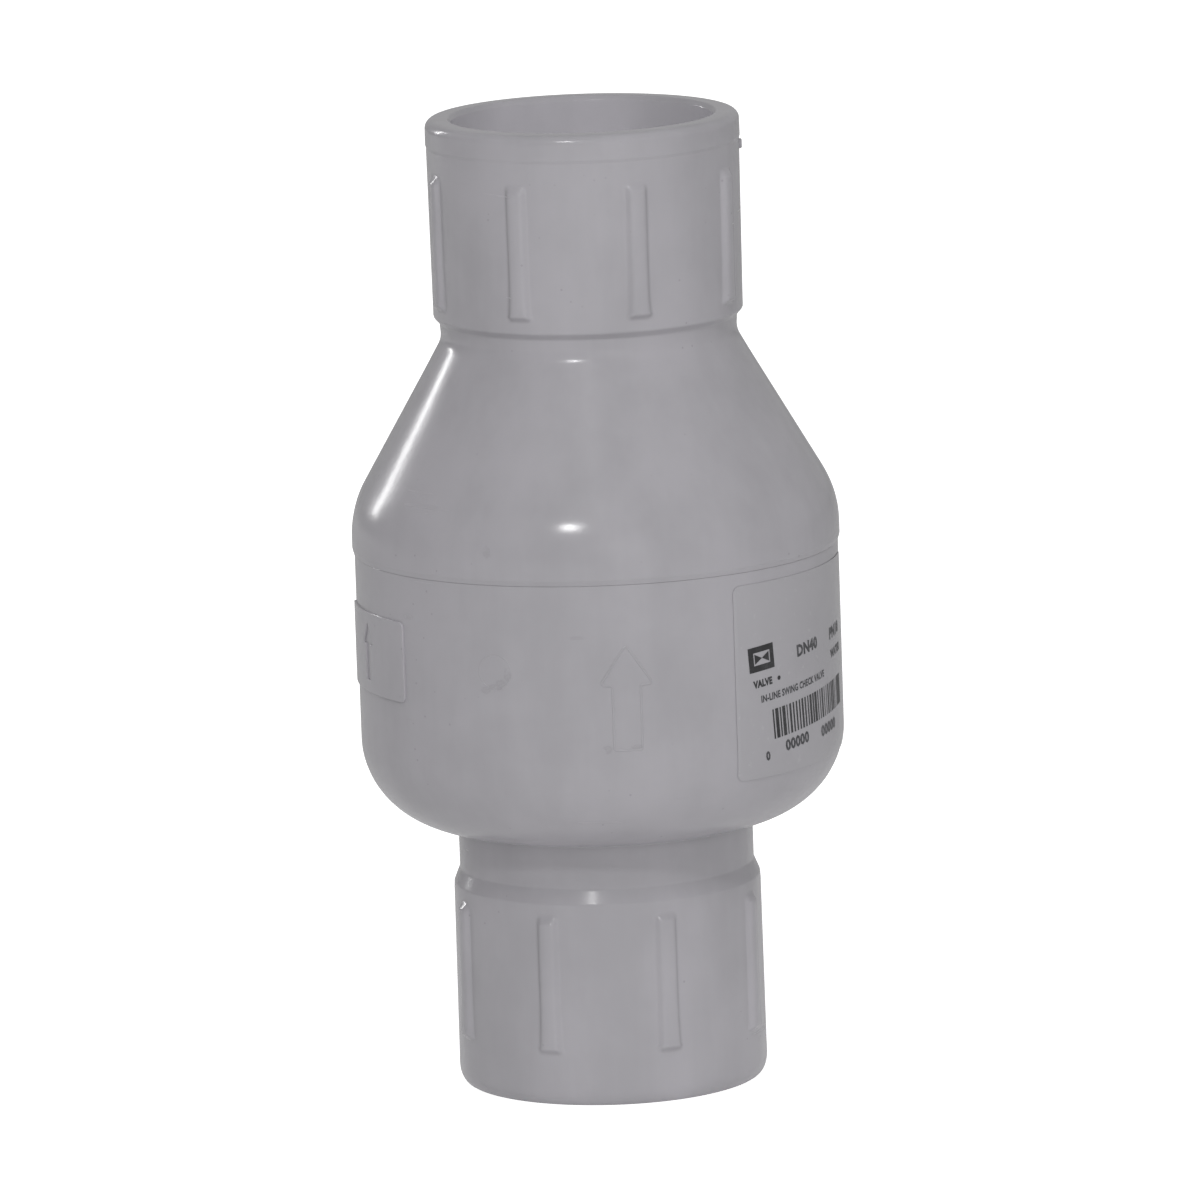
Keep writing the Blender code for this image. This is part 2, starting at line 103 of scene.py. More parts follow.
# view
VIEW_AZIMUTH = -20.0
VIEW_DISTANCE = 2200.0
VIEW_RISE = 306.8
VIEW_ASIDE = 0.37
VIEW_BELOW_MIDDLE = 0.58
VIEW_ROLL = -0.034
LENS = 359.42
WHITE = (1.0, 1.0, 1.0, 1.0)

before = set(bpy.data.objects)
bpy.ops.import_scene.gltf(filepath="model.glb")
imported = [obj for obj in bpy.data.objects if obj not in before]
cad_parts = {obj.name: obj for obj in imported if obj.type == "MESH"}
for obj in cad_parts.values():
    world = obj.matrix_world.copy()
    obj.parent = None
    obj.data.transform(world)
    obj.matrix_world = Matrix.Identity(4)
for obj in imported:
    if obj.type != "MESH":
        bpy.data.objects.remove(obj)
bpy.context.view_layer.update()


# --- node trees ---

class Nodes:
    """Adds nodes to a tree; a feed that is a socket is linked, anything else is set."""

    def __init__(self, tree):
        self.tree = tree

    def add(self, kind, feeds=None, **settings):
        node = self.tree.nodes.new(kind)
        for key, value in settings.items():
            setattr(node, key, value)
        for key, value in (feeds or {}).items():
            if isinstance(value, bpy.types.NodeSocket):
                self.tree.links.new(value, node.inputs[key])
            else:
                node.inputs[key].default_value = value
        return node

    def math(self, operation, *feeds):
        found = {i: value for i, value in enumerate(feeds)}
        return self.add("ShaderNodeMath", found, operation=operation).outputs[0]

    def vector(self, operation, *feeds):
        found = {i: value for i, value in enumerate(feeds)}
        return self.add("ShaderNodeVectorMath", found, operation=operation).outputs[0]

    def length(self, feed):
        node = self.add("ShaderNodeVectorMath", {0: feed}, operation="LENGTH")
        return node.outputs["Value"]

    def span(self, value, low, high, out_low=0.0, out_high=1.0, smooth=True):
        kind = "SMOOTHSTEP" if smooth else "LINEAR"
        feeds = {0: value, 1: low, 2: high, 3: out_low, 4: out_high}
        node = self.add("ShaderNodeMapRange", feeds, interpolation_type=kind)
        return node.outputs[0]


def new_group(name, **inputs):
    """A geometry tree with named inputs, each given its socket type."""
    group = bpy.data.node_groups.new(name, "GeometryNodeTree")
    face = group.interface
    face.new_socket("Geometry", in_out="INPUT", socket_type="NodeSocketGeometry")
    face.new_socket("Geometry", in_out="OUTPUT", socket_type="NodeSocketGeometry")
    for key, kind in inputs.items():
        label = key.replace("_", " ")
        face.new_socket(label, in_out="INPUT", socket_type="NodeSocket" + kind)
    face.new_socket("Material", in_out="INPUT", socket_type="NodeSocketMaterial")
    nodes = Nodes(group)
    start = nodes.add("NodeGroupInput")
    return group, nodes, start


def close_group(nodes, start, geometry):
    real = nodes.add("GeometryNodeRealizeInstances", {0: geometry})
    done = nodes.add("GeometryNodeSetMaterial", {0: real.outputs[0],
                                                 "Material": start.outputs["Material"]})
    nodes.add("NodeGroupOutput", {0: done.outputs[0]})


def ribs_group():
    """Pushes grip ribs out of a hub's outer wall, with soft edges and a flared foot."""
    group, n, start = new_group(
        "hub_ribs", Count="Int", Turn="Float", Wall="Float", Low="Float", High="Float",
        Half_Width="Float", Edge="Float", Proud="Float", Ramp="Float", Flare="Float",
        Foot="Float")
    given = start.outputs
    place = n.add("GeometryNodeInputPosition").outputs[0]
    parts = n.add("ShaderNodeSeparateXYZ", {0: place}).outputs
    flat = n.add("ShaderNodeCombineXYZ", {0: parts[0], 1: parts[1]}).outputs[0]
    reach = n.length(flat)
    step = n.math("DIVIDE", 2 * pi, given["Count"])
    half = n.math("MULTIPLY", step, 0.5)
    angle = n.math("SUBTRACT", n.math("ARCTAN2", parts[1], parts[0]), given["Turn"])
    near = n.math("ABSOLUTE", n.math("WRAP", angle, half, n.math("MULTIPLY", half, -1.0)))
    across = n.math("MULTIPLY", near, reach)
    edge = given["Edge"]
    foot = n.math("ADD", given["Low"], given["Foot"])
    flare = n.math("MULTIPLY", given["Flare"],
                   n.span(parts[2], given["Low"], foot, 1.0, 0.0))
    width = n.math("ADD", given["Half Width"], flare)
    side = n.span(across, n.math("SUBTRACT", width, edge), n.math("ADD", width, edge), 1, 0)
    low = n.span(parts[2], n.math("SUBTRACT", given["Low"], edge),
                 n.math("ADD", given["Low"], edge))
    high = n.span(parts[2], n.math("SUBTRACT", given["High"], given["Ramp"]),
                  n.math("ADD", given["High"], edge), 1.0, 0.0)
    outside = n.math("GREATER_THAN", reach, given["Wall"])
    rise = n.math("MULTIPLY", n.math("MULTIPLY", side, outside), n.math("MULTIPLY", low, high))
    push = n.add("ShaderNodeVectorMath", {0: n.vector("NORMALIZE", flat),
                 3: n.math("MULTIPLY", rise, given["Proud"])}, operation="SCALE").outputs[0]
    moved = n.add("GeometryNodeSetPosition", {0: given["Geometry"], "Offset": push})
    close_group(n, start, moved.outputs[0])
    return group


def round_group():
    """Copies of a piece set evenly round Z."""
    group, n, start = new_group("set_round", Piece="Object", Count="Int", First="Float")
    given = start.outputs
    piece = n.add("GeometryNodeObjectInfo", {"Object": given["Piece"]},
                  transform_space="ORIGINAL")
    points = n.add("GeometryNodePoints", {0: given["Count"]})
    step = n.math("DIVIDE", 2 * pi, given["Count"])
    order = n.add("GeometryNodeInputIndex").outputs[0]
    turn = n.math("ADD", n.math("MULTIPLY", order, step), given["First"])
    spin = n.add("ShaderNodeCombineXYZ", {2: turn}).outputs[0]
    copies = n.add("GeometryNodeInstanceOnPoints", {
        "Points": points.outputs[0], "Instance": piece.outputs["Geometry"], "Rotation": spin})
    both = n.add("GeometryNodeJoinGeometry", {0: copies.outputs[0]})
    group.links.new(given["Geometry"], both.inputs[0])
    close_group(n, start, both.outputs[0])
    return group


def wire_group():
    """A round section swept along the line that the mesh's edges make."""
    group, n, start = new_group("wire", Radius="Float", Sides="Int")
    given = start.outputs
    line = n.add("GeometryNodeMeshToCurve", {0: given["Geometry"]})
    section = n.add("GeometryNodeCurvePrimitiveCircle", {"Resolution": given["Sides"],
                                                         "Radius": given["Radius"]})
    swept = n.add("GeometryNodeCurveToMesh", {0: line.outputs[0], 1: section.outputs[0],
                                              "Fill Caps": True})
    close_group(n, start, swept.outputs[0])
    return group


def bars_group():
    """Upright bars of uneven width along X, for a printed code."""
    group, n, start = new_group("code_bars", Count="Int", Pitch="Float", Height="Float",
                                Narrow="Float", Wide="Float", Seed="Int")
    given = start.outputs
    order = n.add("GeometryNodeInputIndex").outputs[0]
    along = n.math("MULTIPLY", order, given["Pitch"])
    place = n.add("ShaderNodeCombineXYZ", {0: along}).outputs[0]
    points = n.add("GeometryNodePoints", {0: given["Count"], "Position": place})
    bar = n.add("GeometryNodeMeshGrid", {0: 1.0, 1: 1.0, 2: 2, 3: 2})
    pick = n.add("FunctionNodeRandomValue", {2: given["Narrow"], 3: given["Wide"],
                                             "Seed": given["Seed"]}, data_type="FLOAT")
    size = n.add("ShaderNodeCombineXYZ", {0: pick.outputs[1], 1: given["Height"], 2: 1.0})
    copies = n.add("GeometryNodeInstanceOnPoints", {
        "Points": points.outputs[0], "Instance": bar.outputs[0], "Scale": size.outputs[0]})
    close_group(n, start, copies.outputs[0])
    return group


# --- materials ---

def new_material(name):
    """The material, its nodes, its shader and the piece's own coordinates."""
    mat = bpy.data.materials.new(name)
    mat.use_nodes = True
    n = Nodes(mat.node_tree)
    shader = mat.node_tree.nodes["Principled BSDF"]
    return mat, n, shader, n.add("ShaderNodeTexCoord").outputs["Object"]


def noise(n, coords, scale, detail=3.0, rough=0.55, stretch=None):
    if stretch:
        coords = n.vector("MULTIPLY", coords, stretch)
    return n.add("ShaderNodeTexNoise", {"Vector": coords, "Scale": scale, "Detail": detail,
                                        "Roughness": rough}).outputs[0]


def blend_colour(n, factor, low, high):
    node = n.add("ShaderNodeMix", {0: factor, 6: (*low, 1.0) if isinstance(low, tuple) else low,
                                   7: (*high, 1.0)}, data_type="RGBA")
    return node.outputs[2]


def bumped(n, shader, *layers):
    """Bump layers, each (height socket, distance in mm, strength)."""
    normal = None
    for height, distance, strength in layers:
        feeds = {"Height": height, "Distance": distance * MM, "Strength": strength}
        if normal:
            feeds["Normal"] = normal
        normal = n.add("ShaderNodeBump", feeds).outputs[0]
    n.tree.links.new(normal, shader.inputs["Normal"])


def link(n, output, shader, name):
    n.tree.links.new(output, shader.inputs[name])


def on_wall(azimuth, z, radius=BARREL_R):
    a = radians(azimuth)
    return Vector((radius * sin(a), -radius * cos(a), z)) * MM


def mark(n, coords, azimuth, z, width, height, breakup):
    """A worn mark on the barrel, 1 inside and 0 outside, broken up by noise."""
    away = n.vector("SUBTRACT", coords, on_wall(azimuth, z))
    scaled = n.vector("MULTIPLY", away, (1 / width, 1 / width, 1 / height))
    inside = n.span(n.length(scaled), 0.35 * MM, 1.0 * MM, 1.0, 0.0)
    return n.math("MULTIPLY", inside, breakup)


def moulded_pvc(name, colour, rough, worn):
    """Glossy moulded PVC: faint flow lines, cloudiness, specks and, if worn, scuffs."""
    mat, n, shader, coords = new_material(name)
    cloud = noise(n, coords, 34.0, 4.0)
    flow = noise(n, coords, 60.0, 5.0, 0.6, (1.0, 1.0, 0.16))
    peel = noise(n, coords, 620.0, 2.0)
    grain = noise(n, coords, 4200.0, 1.0)
    waves = noise(n, coords, 95.0, 2.0, 0.4, (1.0, 1.0, 0.55))
    mixed = n.math("ADD", n.math("MULTIPLY", cloud, 0.6), n.math("MULTIPLY", flow, 0.4))
    dark = tuple(v * 0.93 for v in colour)
    light = tuple(min(v * (1.06 if i != 1 else 1.055), 1.0) for i, v in enumerate(colour))
    base = blend_colour(n, n.span(mixed, 0.36, 0.64), dark, light)
    dots = n.add("ShaderNodeTexVoronoi", {"Vector": coords, "Scale": 330.0,
                                          "Randomness": 1.0}).outputs["Distance"]
    speck = n.math("MULTIPLY", n.span(dots, 0.05, 0.09, 1.0, 0.0), n.span(cloud, 0.5, 0.62))
    base = blend_colour(n, n.math("MULTIPLY", speck, 0.3), base, tuple(v * 0.45 for v in colour))
    gloss = n.span(mixed, 0.3, 0.7, rough * 0.82, rough * 1.2)
    if worn:
        breakup = n.span(noise(n, coords, 900.0, 4.0, 0.7), 0.38, 0.6)
        wear = 0.0
        for spot in WEAR_MARKS:
            wear = n.math("MAXIMUM", wear, mark(n, coords, *spot, breakup))
        base = blend_colour(n, n.math("MULTIPLY", wear, 0.3), base,
                            tuple(v * 0.5 for v in colour))
        hair = noise(n, coords, 260.0, 2.0, 0.5, (0.12, 0.12, 2.4))
        hairs = n.math("MULTIPLY", n.span(hair, 0.7, 0.74), n.span(cloud, 0.52, 0.62))
        base = blend_colour(n, n.math("MULTIPLY", hairs, 0.12), base,
                            tuple(v * 0.6 for v in colour))
        gloss = n.math("ADD", gloss, n.math("MULTIPLY", n.math("ADD", wear, hairs), 0.12))
    link(n, base, shader, "Base Color")
    link(n, gloss, shader, "Roughness")
    shader.inputs["IOR"].default_value = 1.52
    bumped(n, shader, (waves, 0.5, 0.12), (peel, 0.05, 0.22), (grain, 0.01, 0.15))
    return mat


def moulded_rubber(name, colour):
    mat, n, shader, coords = new_material(name)
    cloud, grain = noise(n, coords, 160.0), noise(n, coords, 5200.0, 2.0)
    bloom = n.span(cloud, 0.35, 0.75)
    link(n, blend_colour(n, bloom, colour, tuple(v * 2.1 + 0.01 for v in colour)), shader,
         "Base Color")
    link(n, n.span(cloud, 0.3, 0.7, 0.52, 0.72), shader, "Roughness")
    shader.inputs["Specular IOR Level"].default_value = 0.4
    bumped(n, shader, (cloud, 0.1, 0.1), (grain, 0.02, 0.35))
    return mat


def worked_steel(name, colour, rough, stretch, line_scale, line_depth):
    """Stainless steel; the stretch sets which way the tool marks run."""
    mat, n, shader, coords = new_material(name)
    cloud = noise(n, coords, 220.0)
    lines = noise(n, coords, line_scale, 3.0, 0.6, stretch)
    link(n, blend_colour(n, cloud, tuple(v * 0.86 for v in colour), colour), shader,
         "Base Color")
    link(n, n.span(lines, 0.3, 0.7, rough * 0.75, rough * 1.3), shader, "Roughness")
    shader.inputs["Metallic"].default_value = 1.0
    bumped(n, shader, (lines, line_depth, 0.4), (cloud, 0.02, 0.1))
    return mat


def turned_acetal(name, colour):
    mat, n, shader, coords = new_material(name)
    cloud = noise(n, coords, 240.0)
    rings = noise(n, coords, 2400.0, 2.0, 0.5, (1.0, 0.1, 0.1))
    link(n, blend_colour(n, cloud, tuple(v * 0.92 for v in colour), colour), shader,
         "Base Color")
    link(n, n.span(cloud, 0.3, 0.7, 0.32, 0.46), shader, "Roughness")
    shader.inputs["Subsurface Weight"].default_value = 0.15
    shader.inputs["Subsurface Scale"].default_value = 0.001
    bumped(n, shader, (rings, 0.02, 0.3))
    return mat


def clear_film(name, colour):
    """A clear film: it shows the grey under it, a trace lighter, with its own gloss."""
    mat, n, shader, coords = new_material(name)
    cloud, creases = noise(n, coords, 34.0, 4.0), noise(n, coords, 420.0, 2.0, 0.5, (1, 1, 0.3))
    bubbles = n.span(noise(n, coords, 700.0, 2.0), 0.66, 0.74)
    base = blend_colour(n, n.span(cloud, 0.36, 0.64), tuple(v * 0.95 for v in colour), colour)
    base = blend_colour(n, n.math("MULTIPLY", bubbles, 0.25), base, (0.5, 0.49, 0.51))
    link(n, base, shader, "Base Color")
    link(n, n.span(cloud, 0.3, 0.7, 0.16, 0.26), shader, "Roughness")
    bumped(n, shader, (creases, 0.04, 0.12))
    return mat


def label_ink(name, colour, strength):
    mat, n, shader, coords = new_material(name)
    fine, cloud = noise(n, coords, 2600.0, 3.0), noise(n, coords, 300.0)
    patchy = n.math("MULTIPLY", n.span(fine, 0.3, 0.7), n.span(cloud, 0.3, 0.8))
    link(n, blend_colour(n, n.math("MULTIPLY", patchy, strength), colour, (0.2, 0.2, 0.21)),
         shader, "Base Color")
    link(n, n.span(fine, 0.3, 0.7, 0.35, 0.5), shader, "Roughness")
    return mat


PVC = moulded_pvc("grey_pvc", (0.405, 0.395, 0.42), 0.19, True)
DARK_PVC = moulded_pvc("dark_pvc", (0.115, 0.115, 0.125), 0.34, False)
RUBBER = moulded_rubber("black_epdm", (0.013, 0.013, 0.014))
STAMPED = worked_steel("stamped_steel", (0.62, 0.61, 0.6), 0.34, (1.0, 0.1, 1.0), 900.0, 0.03)
TURNED = worked_steel("turned_steel", (0.66, 0.65, 0.64), 0.26, (0.1, 0.1, 1.0), 2600.0, 0.02)
PIN_STEEL = worked_steel("pin_steel", (0.68, 0.67, 0.66), 0.2, (1.0, 0.1, 0.1), 2600.0, 0.015)
WIRE = worked_steel("spring_wire", (0.6, 0.59, 0.58), 0.28, (0.2, 1.0, 1.0), 1800.0, 0.015)
ACETAL = turned_acetal("white_acetal", (0.78, 0.77, 0.72))
FILM = clear_film("clear_film", (0.418, 0.408, 0.432))
INK = label_ink("black_ink", (0.022, 0.022, 0.024), 0.35)
GREY_INK = label_ink("worn_ink", (0.045, 0.045, 0.05), 0.7)

RIBS, ROUND, SWEEP, BARS = ribs_group(), round_group(), wire_group(), bars_group()


# --- mesh helpers ---

def add_mesh(name, verts, edges, faces, mat=None):
    mesh = bpy.data.meshes.new(name)
    mesh.from_pydata([Vector(v) * MM for v in verts], edges, faces)
    if mat:
        mesh.materials.append(mat)
    obj = bpy.data.objects.new(name, mesh)
    bpy.context.scene.collection.objects.link(obj)
    return obj


def tidy(obj, angle=32.0, weld=0.002):
    """Welds doubles, turns faces outward and smooths all but the sharp edges."""
    bm = bmesh.new()
    bm.from_mesh(obj.data)
    bmesh.ops.remove_doubles(bm, verts=bm.verts, dist=weld * MM)
    bmesh.ops.recalc_face_normals(bm, faces=bm.faces)
    bm.to_mesh(obj.data)
    bm.free()
    obj.data.shade_smooth()
    obj.data.set_sharp_from_angle(angle=radians(angle))
    return obj


def apply(obj):
    """The object with its modifiers made plain mesh."""
    bpy.context.view_layer.update()
    shown = obj.evaluated_get(bpy.context.evaluated_depsgraph_get())
    mesh = bpy.data.meshes.new_from_object(shown)
    mesh.name = obj.name
    obj.modifiers.clear()
    obj.data = mesh
    return obj


def run_group(obj, group, mat, **values):
    modifier = obj.modifiers.new(group.name, "NODES")
    modifier.node_group = group
    values["Material"] = mat
    for item in group.interface.items_tree:
        key = item.name.replace(" ", "_")
        if item.in_out == "INPUT" and key in values:
            modifier[item.identifier] = values[key]
    return apply(obj)


def drop(*objs):
    for obj in objs:
        bpy.data.objects.remove(obj)


def moved(obj, location=(0, 0, 0), turn=(0, 0, 0), scale=(1, 1, 1)):
    """Moves the mesh itself, so that the object stays at the origin."""
    matrix = Matrix.Translation(Vector(location) * MM)
    for axis, angle in zip("ZYX", reversed(turn)):
        matrix = matrix @ Matrix.Rotation(radians(angle), 4, axis)
    obj.data.transform(matrix @ Matrix.Diagonal((*scale, 1)))
    return obj


def joined(name, *objs):
    bm = bmesh.new()
    mats = []
    for obj in objs:
        own = obj.data.materials[:]
        for mat in own:
            if mat not in mats:
                mats.append(mat)
        first = len(bm.faces)
        bm.from_mesh(obj.data)
        bm.faces.ensure_lookup_table()
        for face in bm.faces[first:]:
            face.material_index = mats.index(own[face.material_index]) if own else 0
    mesh = bpy.data.meshes.new(name)
    bm.to_mesh(mesh)
    bm.free()
    drop(*objs)
    for mat in mats:
        mesh.materials.append(mat)
    obj = bpy.data.objects.new(name, mesh)
    bpy.context.scene.collection.objects.link(obj)
    return obj


def cut(obj, *tools, operation="DIFFERENCE"):
    for tool in tools:
        modifier = obj.modifiers.new("cut", "BOOLEAN")
        modifier.operation = operation
        modifier.solver = "EXACT"
        modifier.object = tool
    apply(obj)
    drop(*tools)
    return obj


def rounded(corners, steps=5, closed=True):
    """Corners (x, y) or (x, y, radius) made a line with arcs at the rounded ones."""
    line, count = [], len(corners)
    for i, corner in enumerate(corners):
        here = Vector(corner[:2])
        radius = corner[2] if len(corner) > 2 else 0.0
        if not radius or (not closed and i in (0, count - 1)):
            line.append(tuple(here))
            continue
        back = Vector(corners[i - 1][:2]) - here
        ahead = Vector(corners[(i + 1) % count][:2]) - here
        half = back.angle(ahead) / 2
        reach = min(radius / tan(half), back.length * 0.48, ahead.length * 0.48)
        radius = reach * tan(half)
        back, ahead = back.normalized(), ahead.normalized()
        centre = here + (back + ahead).normalized() * radius / sin(half)
        first, last = here + back * reach - centre, here + ahead * reach - centre
        begin = atan2(first.y, first.x)
        sweep = (atan2(last.y, last.x) - begin + pi) % (2 * pi) - pi
        extra = min(reach * 0.3, 0.2)
        line.append(tuple(here + back * (reach + extra)))
        for j in range(steps + 1):
            a = begin + sweep * j / steps
            line.append((centre.x + radius * cos(a), centre.y + radius * sin(a)))
        line.append(tuple(here + ahead * (reach + extra)))
    return line


def box(x0, y0, x1, y1):
    return [(x0, y0), (x1, y0), (x1, y1), (x0, y1)]


def rounded_box(x0, y0, x1, y1, radius, steps=5):
    return rounded([(*corner, radius) for corner in box(x0, y0, x1, y1)], steps)


def oval_arc(centre_r, centre_z, reach_r, reach_z, start, end, count):
    angles = [radians(start + (end - start) * i / count) for i in range(count + 1)]
    return [(centre_r + reach_r * cos(a), centre_z + reach_z * sin(a)) for a in angles]


def even(count):
    return [2 * pi * i / count for i in range(count)]


def lathe(name, profile, mat, columns=96, closed=True, angle=32.0):
    """A profile of (r, z) turned round Z, with a pole wherever r is nothing."""
    angles = columns if isinstance(columns, list) else even(columns)
    count, verts, rings = len(angles), [], []
    for r, z in profile:
        first = len(verts)
        if r < 1e-6:
            verts.append((0, 0, z))
            rings.append([first] * count)
        else:
            verts += [(r * cos(a), r * sin(a), z) for a in angles]
            rings.append(list(range(first, first + count)))
    pairs = list(zip(rings, rings[1:]))
    if closed:
        pairs.append((rings[-1], rings[0]))
    faces = []
    for low, high in pairs:
        for i in range(count):
            j = (i + 1) % count
            face = []
            for v in (low[i], low[j], high[j], high[i]):
                if v not in face:
                    face.append(v)
            if len(face) > 2:
                faces.append(face)
    return tidy(add_mesh(name, verts, [], faces, mat), angle)


def from_curve(curve, mat):
    """The mesh object that a curve or a text shows."""
    source = bpy.data.objects.new(curve.name, curve)
    bpy.context.scene.collection.objects.link(source)
    bpy.context.view_layer.update()
    shown = source.evaluated_get(bpy.context.evaluated_depsgraph_get())
    mesh = bpy.data.meshes.new_from_object(shown)
    bpy.data.objects.remove(source)
    mesh.materials.clear()
    mesh.materials.append(mat)
    obj = bpy.data.objects.new(curve.name, mesh)
    bpy.context.scene.collection.objects.link(obj)
    return obj


def plate(name, outlines, low, high, mat, bevel=0.15, steps=2):
    """Closed outlines of (x, y), holes after the outer one, as a plate with round edges."""
    curve = bpy.data.curves.new(name, "CURVE")
    curve.dimensions = "2D"
    curve.fill_mode = "BOTH"
    curve.extrude = max((high - low) / 2 - bevel, 0.0) * MM
    curve.bevel_depth = bevel * MM
    curve.bevel_resolution = steps
    curve.offset = -bevel * MM
    for outline in outlines:
        spline = curve.splines.new("POLY")
        spline.points.add(len(outline) - 1)
        for point, (x, y) in zip(spline.points, outline):
            point.co = (x * MM, y * MM, 0, 1)
        spline.use_cyclic_u = True
    return tidy(moved(from_curve(curve, mat), (0, 0, (low + high) / 2)), 40.0)


def across_x(obj, x, y=0.0, z=0.0):
    """Stands a flat piece across X: its own x runs along Y, its y up Z."""
    obj.data.transform(Matrix(((0, 0, 1, x * MM), (1, 0, 0, y * MM), (0, 1, 0, z * MM),
                               (0, 0, 0, 1))))
    return obj


def circle(x, y, radius, count=32):
    return [(x + radius * cos(a), y + radius * sin(a)) for a in even(count)]


def wire(name, points, radius, mat, sides=10, loop=False):
    edges = [(i, i + 1) for i in range(len(points) - 1)]
    if loop:
        edges.append((len(points) - 1, 0))
    obj = add_mesh(name, points, edges, [])
    run_group(obj, SWEEP, mat, Radius=radius * MM, Sides=sides)
    return tidy(obj, 60.0, 0.0005)


def helix(radius, low, high, pitch, per_turn=28):
    count = int((high - low) / pitch * per_turn)
    return [(radius * cos(2 * pi * i / per_turn), radius * sin(2 * pi * i / per_turn),
             low + (high - low) * i / count) for i in range(count + 1)]


def placed(obj, body, slot, *nodes):
    """Hands a finished piece to its body and hides the CAD nodes it stands for."""
    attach(obj, body)
    if nodes:
        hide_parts(*nodes)
    return obj


def wrap_on_wall(obj, radius):
    """Bends a flat piece round the barrel and the top of its dome: x runs along the wall,
    y up, z outward."""
    for v in obj.data.vertices:
        angle = v.co.x / (BARREL_R * MM)
        drop_off = max(0.0, (DOME[1] * MM - v.co.y) / (DOME[3] * MM))
        recess = DOME[2] * (1.0 - (1.0 - min(drop_off, 1.0) ** 2) ** 0.5)
        reach = (radius - recess) * MM + v.co.z
        v.co = (reach * sin(angle), -reach * cos(angle), v.co.y)
    return obj


def arc_length(azimuth):
    return radians(azimuth) * BARREL_R


def split_long_edges(obj, longest, low_rows=()):
    """Cuts a flat piece into strips along x, and at low_rows of y, so that it can bend."""
    bm = bmesh.new()
    bm.from_mesh(obj.data)
    xs = [v.co.x / MM for v in bm.verts]
    count = int((max(xs) - min(xs)) / longest)
    planes = [((min(xs) + longest * (i + 1), 0, 0), (1, 0, 0)) for i in range(count)]
    planes += [((0, y, 0), (0, 1, 0)) for y in low_rows]
    for place, normal in planes:
        bmesh.ops.bisect_plane(bm, geom=bm.verts[:] + bm.edges[:] + bm.faces[:],
                               plane_co=Vector(place) * MM, plane_no=normal, dist=1e-7)
    bm.to_mesh(obj.data)
    bm.free()
    return obj


# --- casings ---

def rib_columns(turn):
    """Column angles, close together at the ribs' edges and wide apart elsewhere."""
    angles = []
    for i in range(RIB_COUNT):
        middle = radians(RIB_FACES_AT + turn) + 2 * pi * i / RIB_COUNT
        angles += [middle + side * reach / HUB_MEAN_R for reach in RIB_SIDE_STEPS
                   for side in (-1, 1) if reach or side > 0]
        angles.append(middle + pi / RIB_COUNT)
    return sorted(a % (2 * pi) for a in angles)


def rows(top, low, high, edge_z):
    """Hub wall rows from top down to low, close together at the ribs' ends."""
    zs = {high, low}
    for z in edge_z:
        zs.update(z + step for step in RIB_END_STEPS)
    zs.update(low + (high - low) * i / 6 for i in range(7))
    return [(top[0] + (top[1] - top[0]) * (high - z) / (high - low), z)
            for z in sorted(zs, reverse=True) if low <= z <= high]


def ribbed(shell, turn, low, high, wall):
    return run_group(shell, RIBS, PVC, Turn=radians(RIB_FACES_AT + turn), Wall=wall * MM,
                     Low=low * MM, High=high * MM, Half_Width=RIB_HALF_WIDTH * MM,
                     Edge=RIB_EDGE * MM, Proud=RIB_PROUD * MM, Flare=RIB_FLARE[0] * MM,
                     Foot=RIB_FLARE[1] * MM, Ramp=RIB_RAMP * MM, Count=RIB_COUNT)


def outlet_shell():
    slope = (BEAD_R - CONE_TOP[0]) / (CONE_TOP[1] - CONE_EDGE_Z)
    stop = LENGTH - SOCKET_DEPTH
    cone = [(CONE_TOP[0] + slope * (CONE_TOP[1] - z), z) for z in (136, 131, 126, 121, 116)]
    bore, _, rebate = SPIGOT_R
    mouth, end = SOCKET_R
    inner_top = SPIGOT_TOP + 0.3 + (bore - WATERWAY_R) / slope
    bend = atan(slope)
    foot = CONE_EDGE_Z - SHOULDER_ROUND * tan(bend / 2)
    shoulder = [(BEAD_R - SHOULDER_ROUND * (1 - cos(a)), foot + SHOULDER_ROUND * sin(a))
                for a in (bend * (1 - i / 10) for i in range(11))]
    hub = rows((29.05, 28.8), 146.6, 176.0, (147.8, 172.4))
    corners = (
        [(24.95, LENGTH, 0.3), (29.15, LENGTH, 1.6), (29.2, 177.4, 0.5), (29.05, 176.8, 0.5)]
        + hub
        + [(28.8, 145.2, 0.8), (27.7, 144.0, 1.0), (27.45, 140.9, 5.0)]
        + cone
        + shoulder
        + [(BEAD_R, 102.2, 0.8), (45.2, SEAM_Z, 0.1)]
        + [(rebate, SEAM_Z), (rebate, SPIGOT_TOP + 0.3), (bore, SPIGOT_TOP + 0.3, 0.5)]
        + [(WATERWAY_R, inner_top, 2.0), (WATERWAY_R, stop, 0.4), (end, stop, 0.2)]
        + [(mouth, 181.2, 0.3)]
    )
    shell = lathe("outlet_casing_body", rounded(corners, 7), PVC, rib_columns(OUTLET_RIBS[0]))
    ribbed(shell, *OUTLET_RIBS)
    nub = lathe("gate_nub", rounded([(0, 0.62), (0.9, 0.62, 0.3), (1.15, -1.2), (0, -1.2)], 4,
                                    False), PVC, 20, False)
    azimuth, r, z = GATE_NUB
    a = radians(azimuth)
    moved(nub, (r * sin(a), -r * cos(a), z), (90, 0, azimuth))
    return tidy(joined("outlet_casing_body", shell, nub), 34.0)


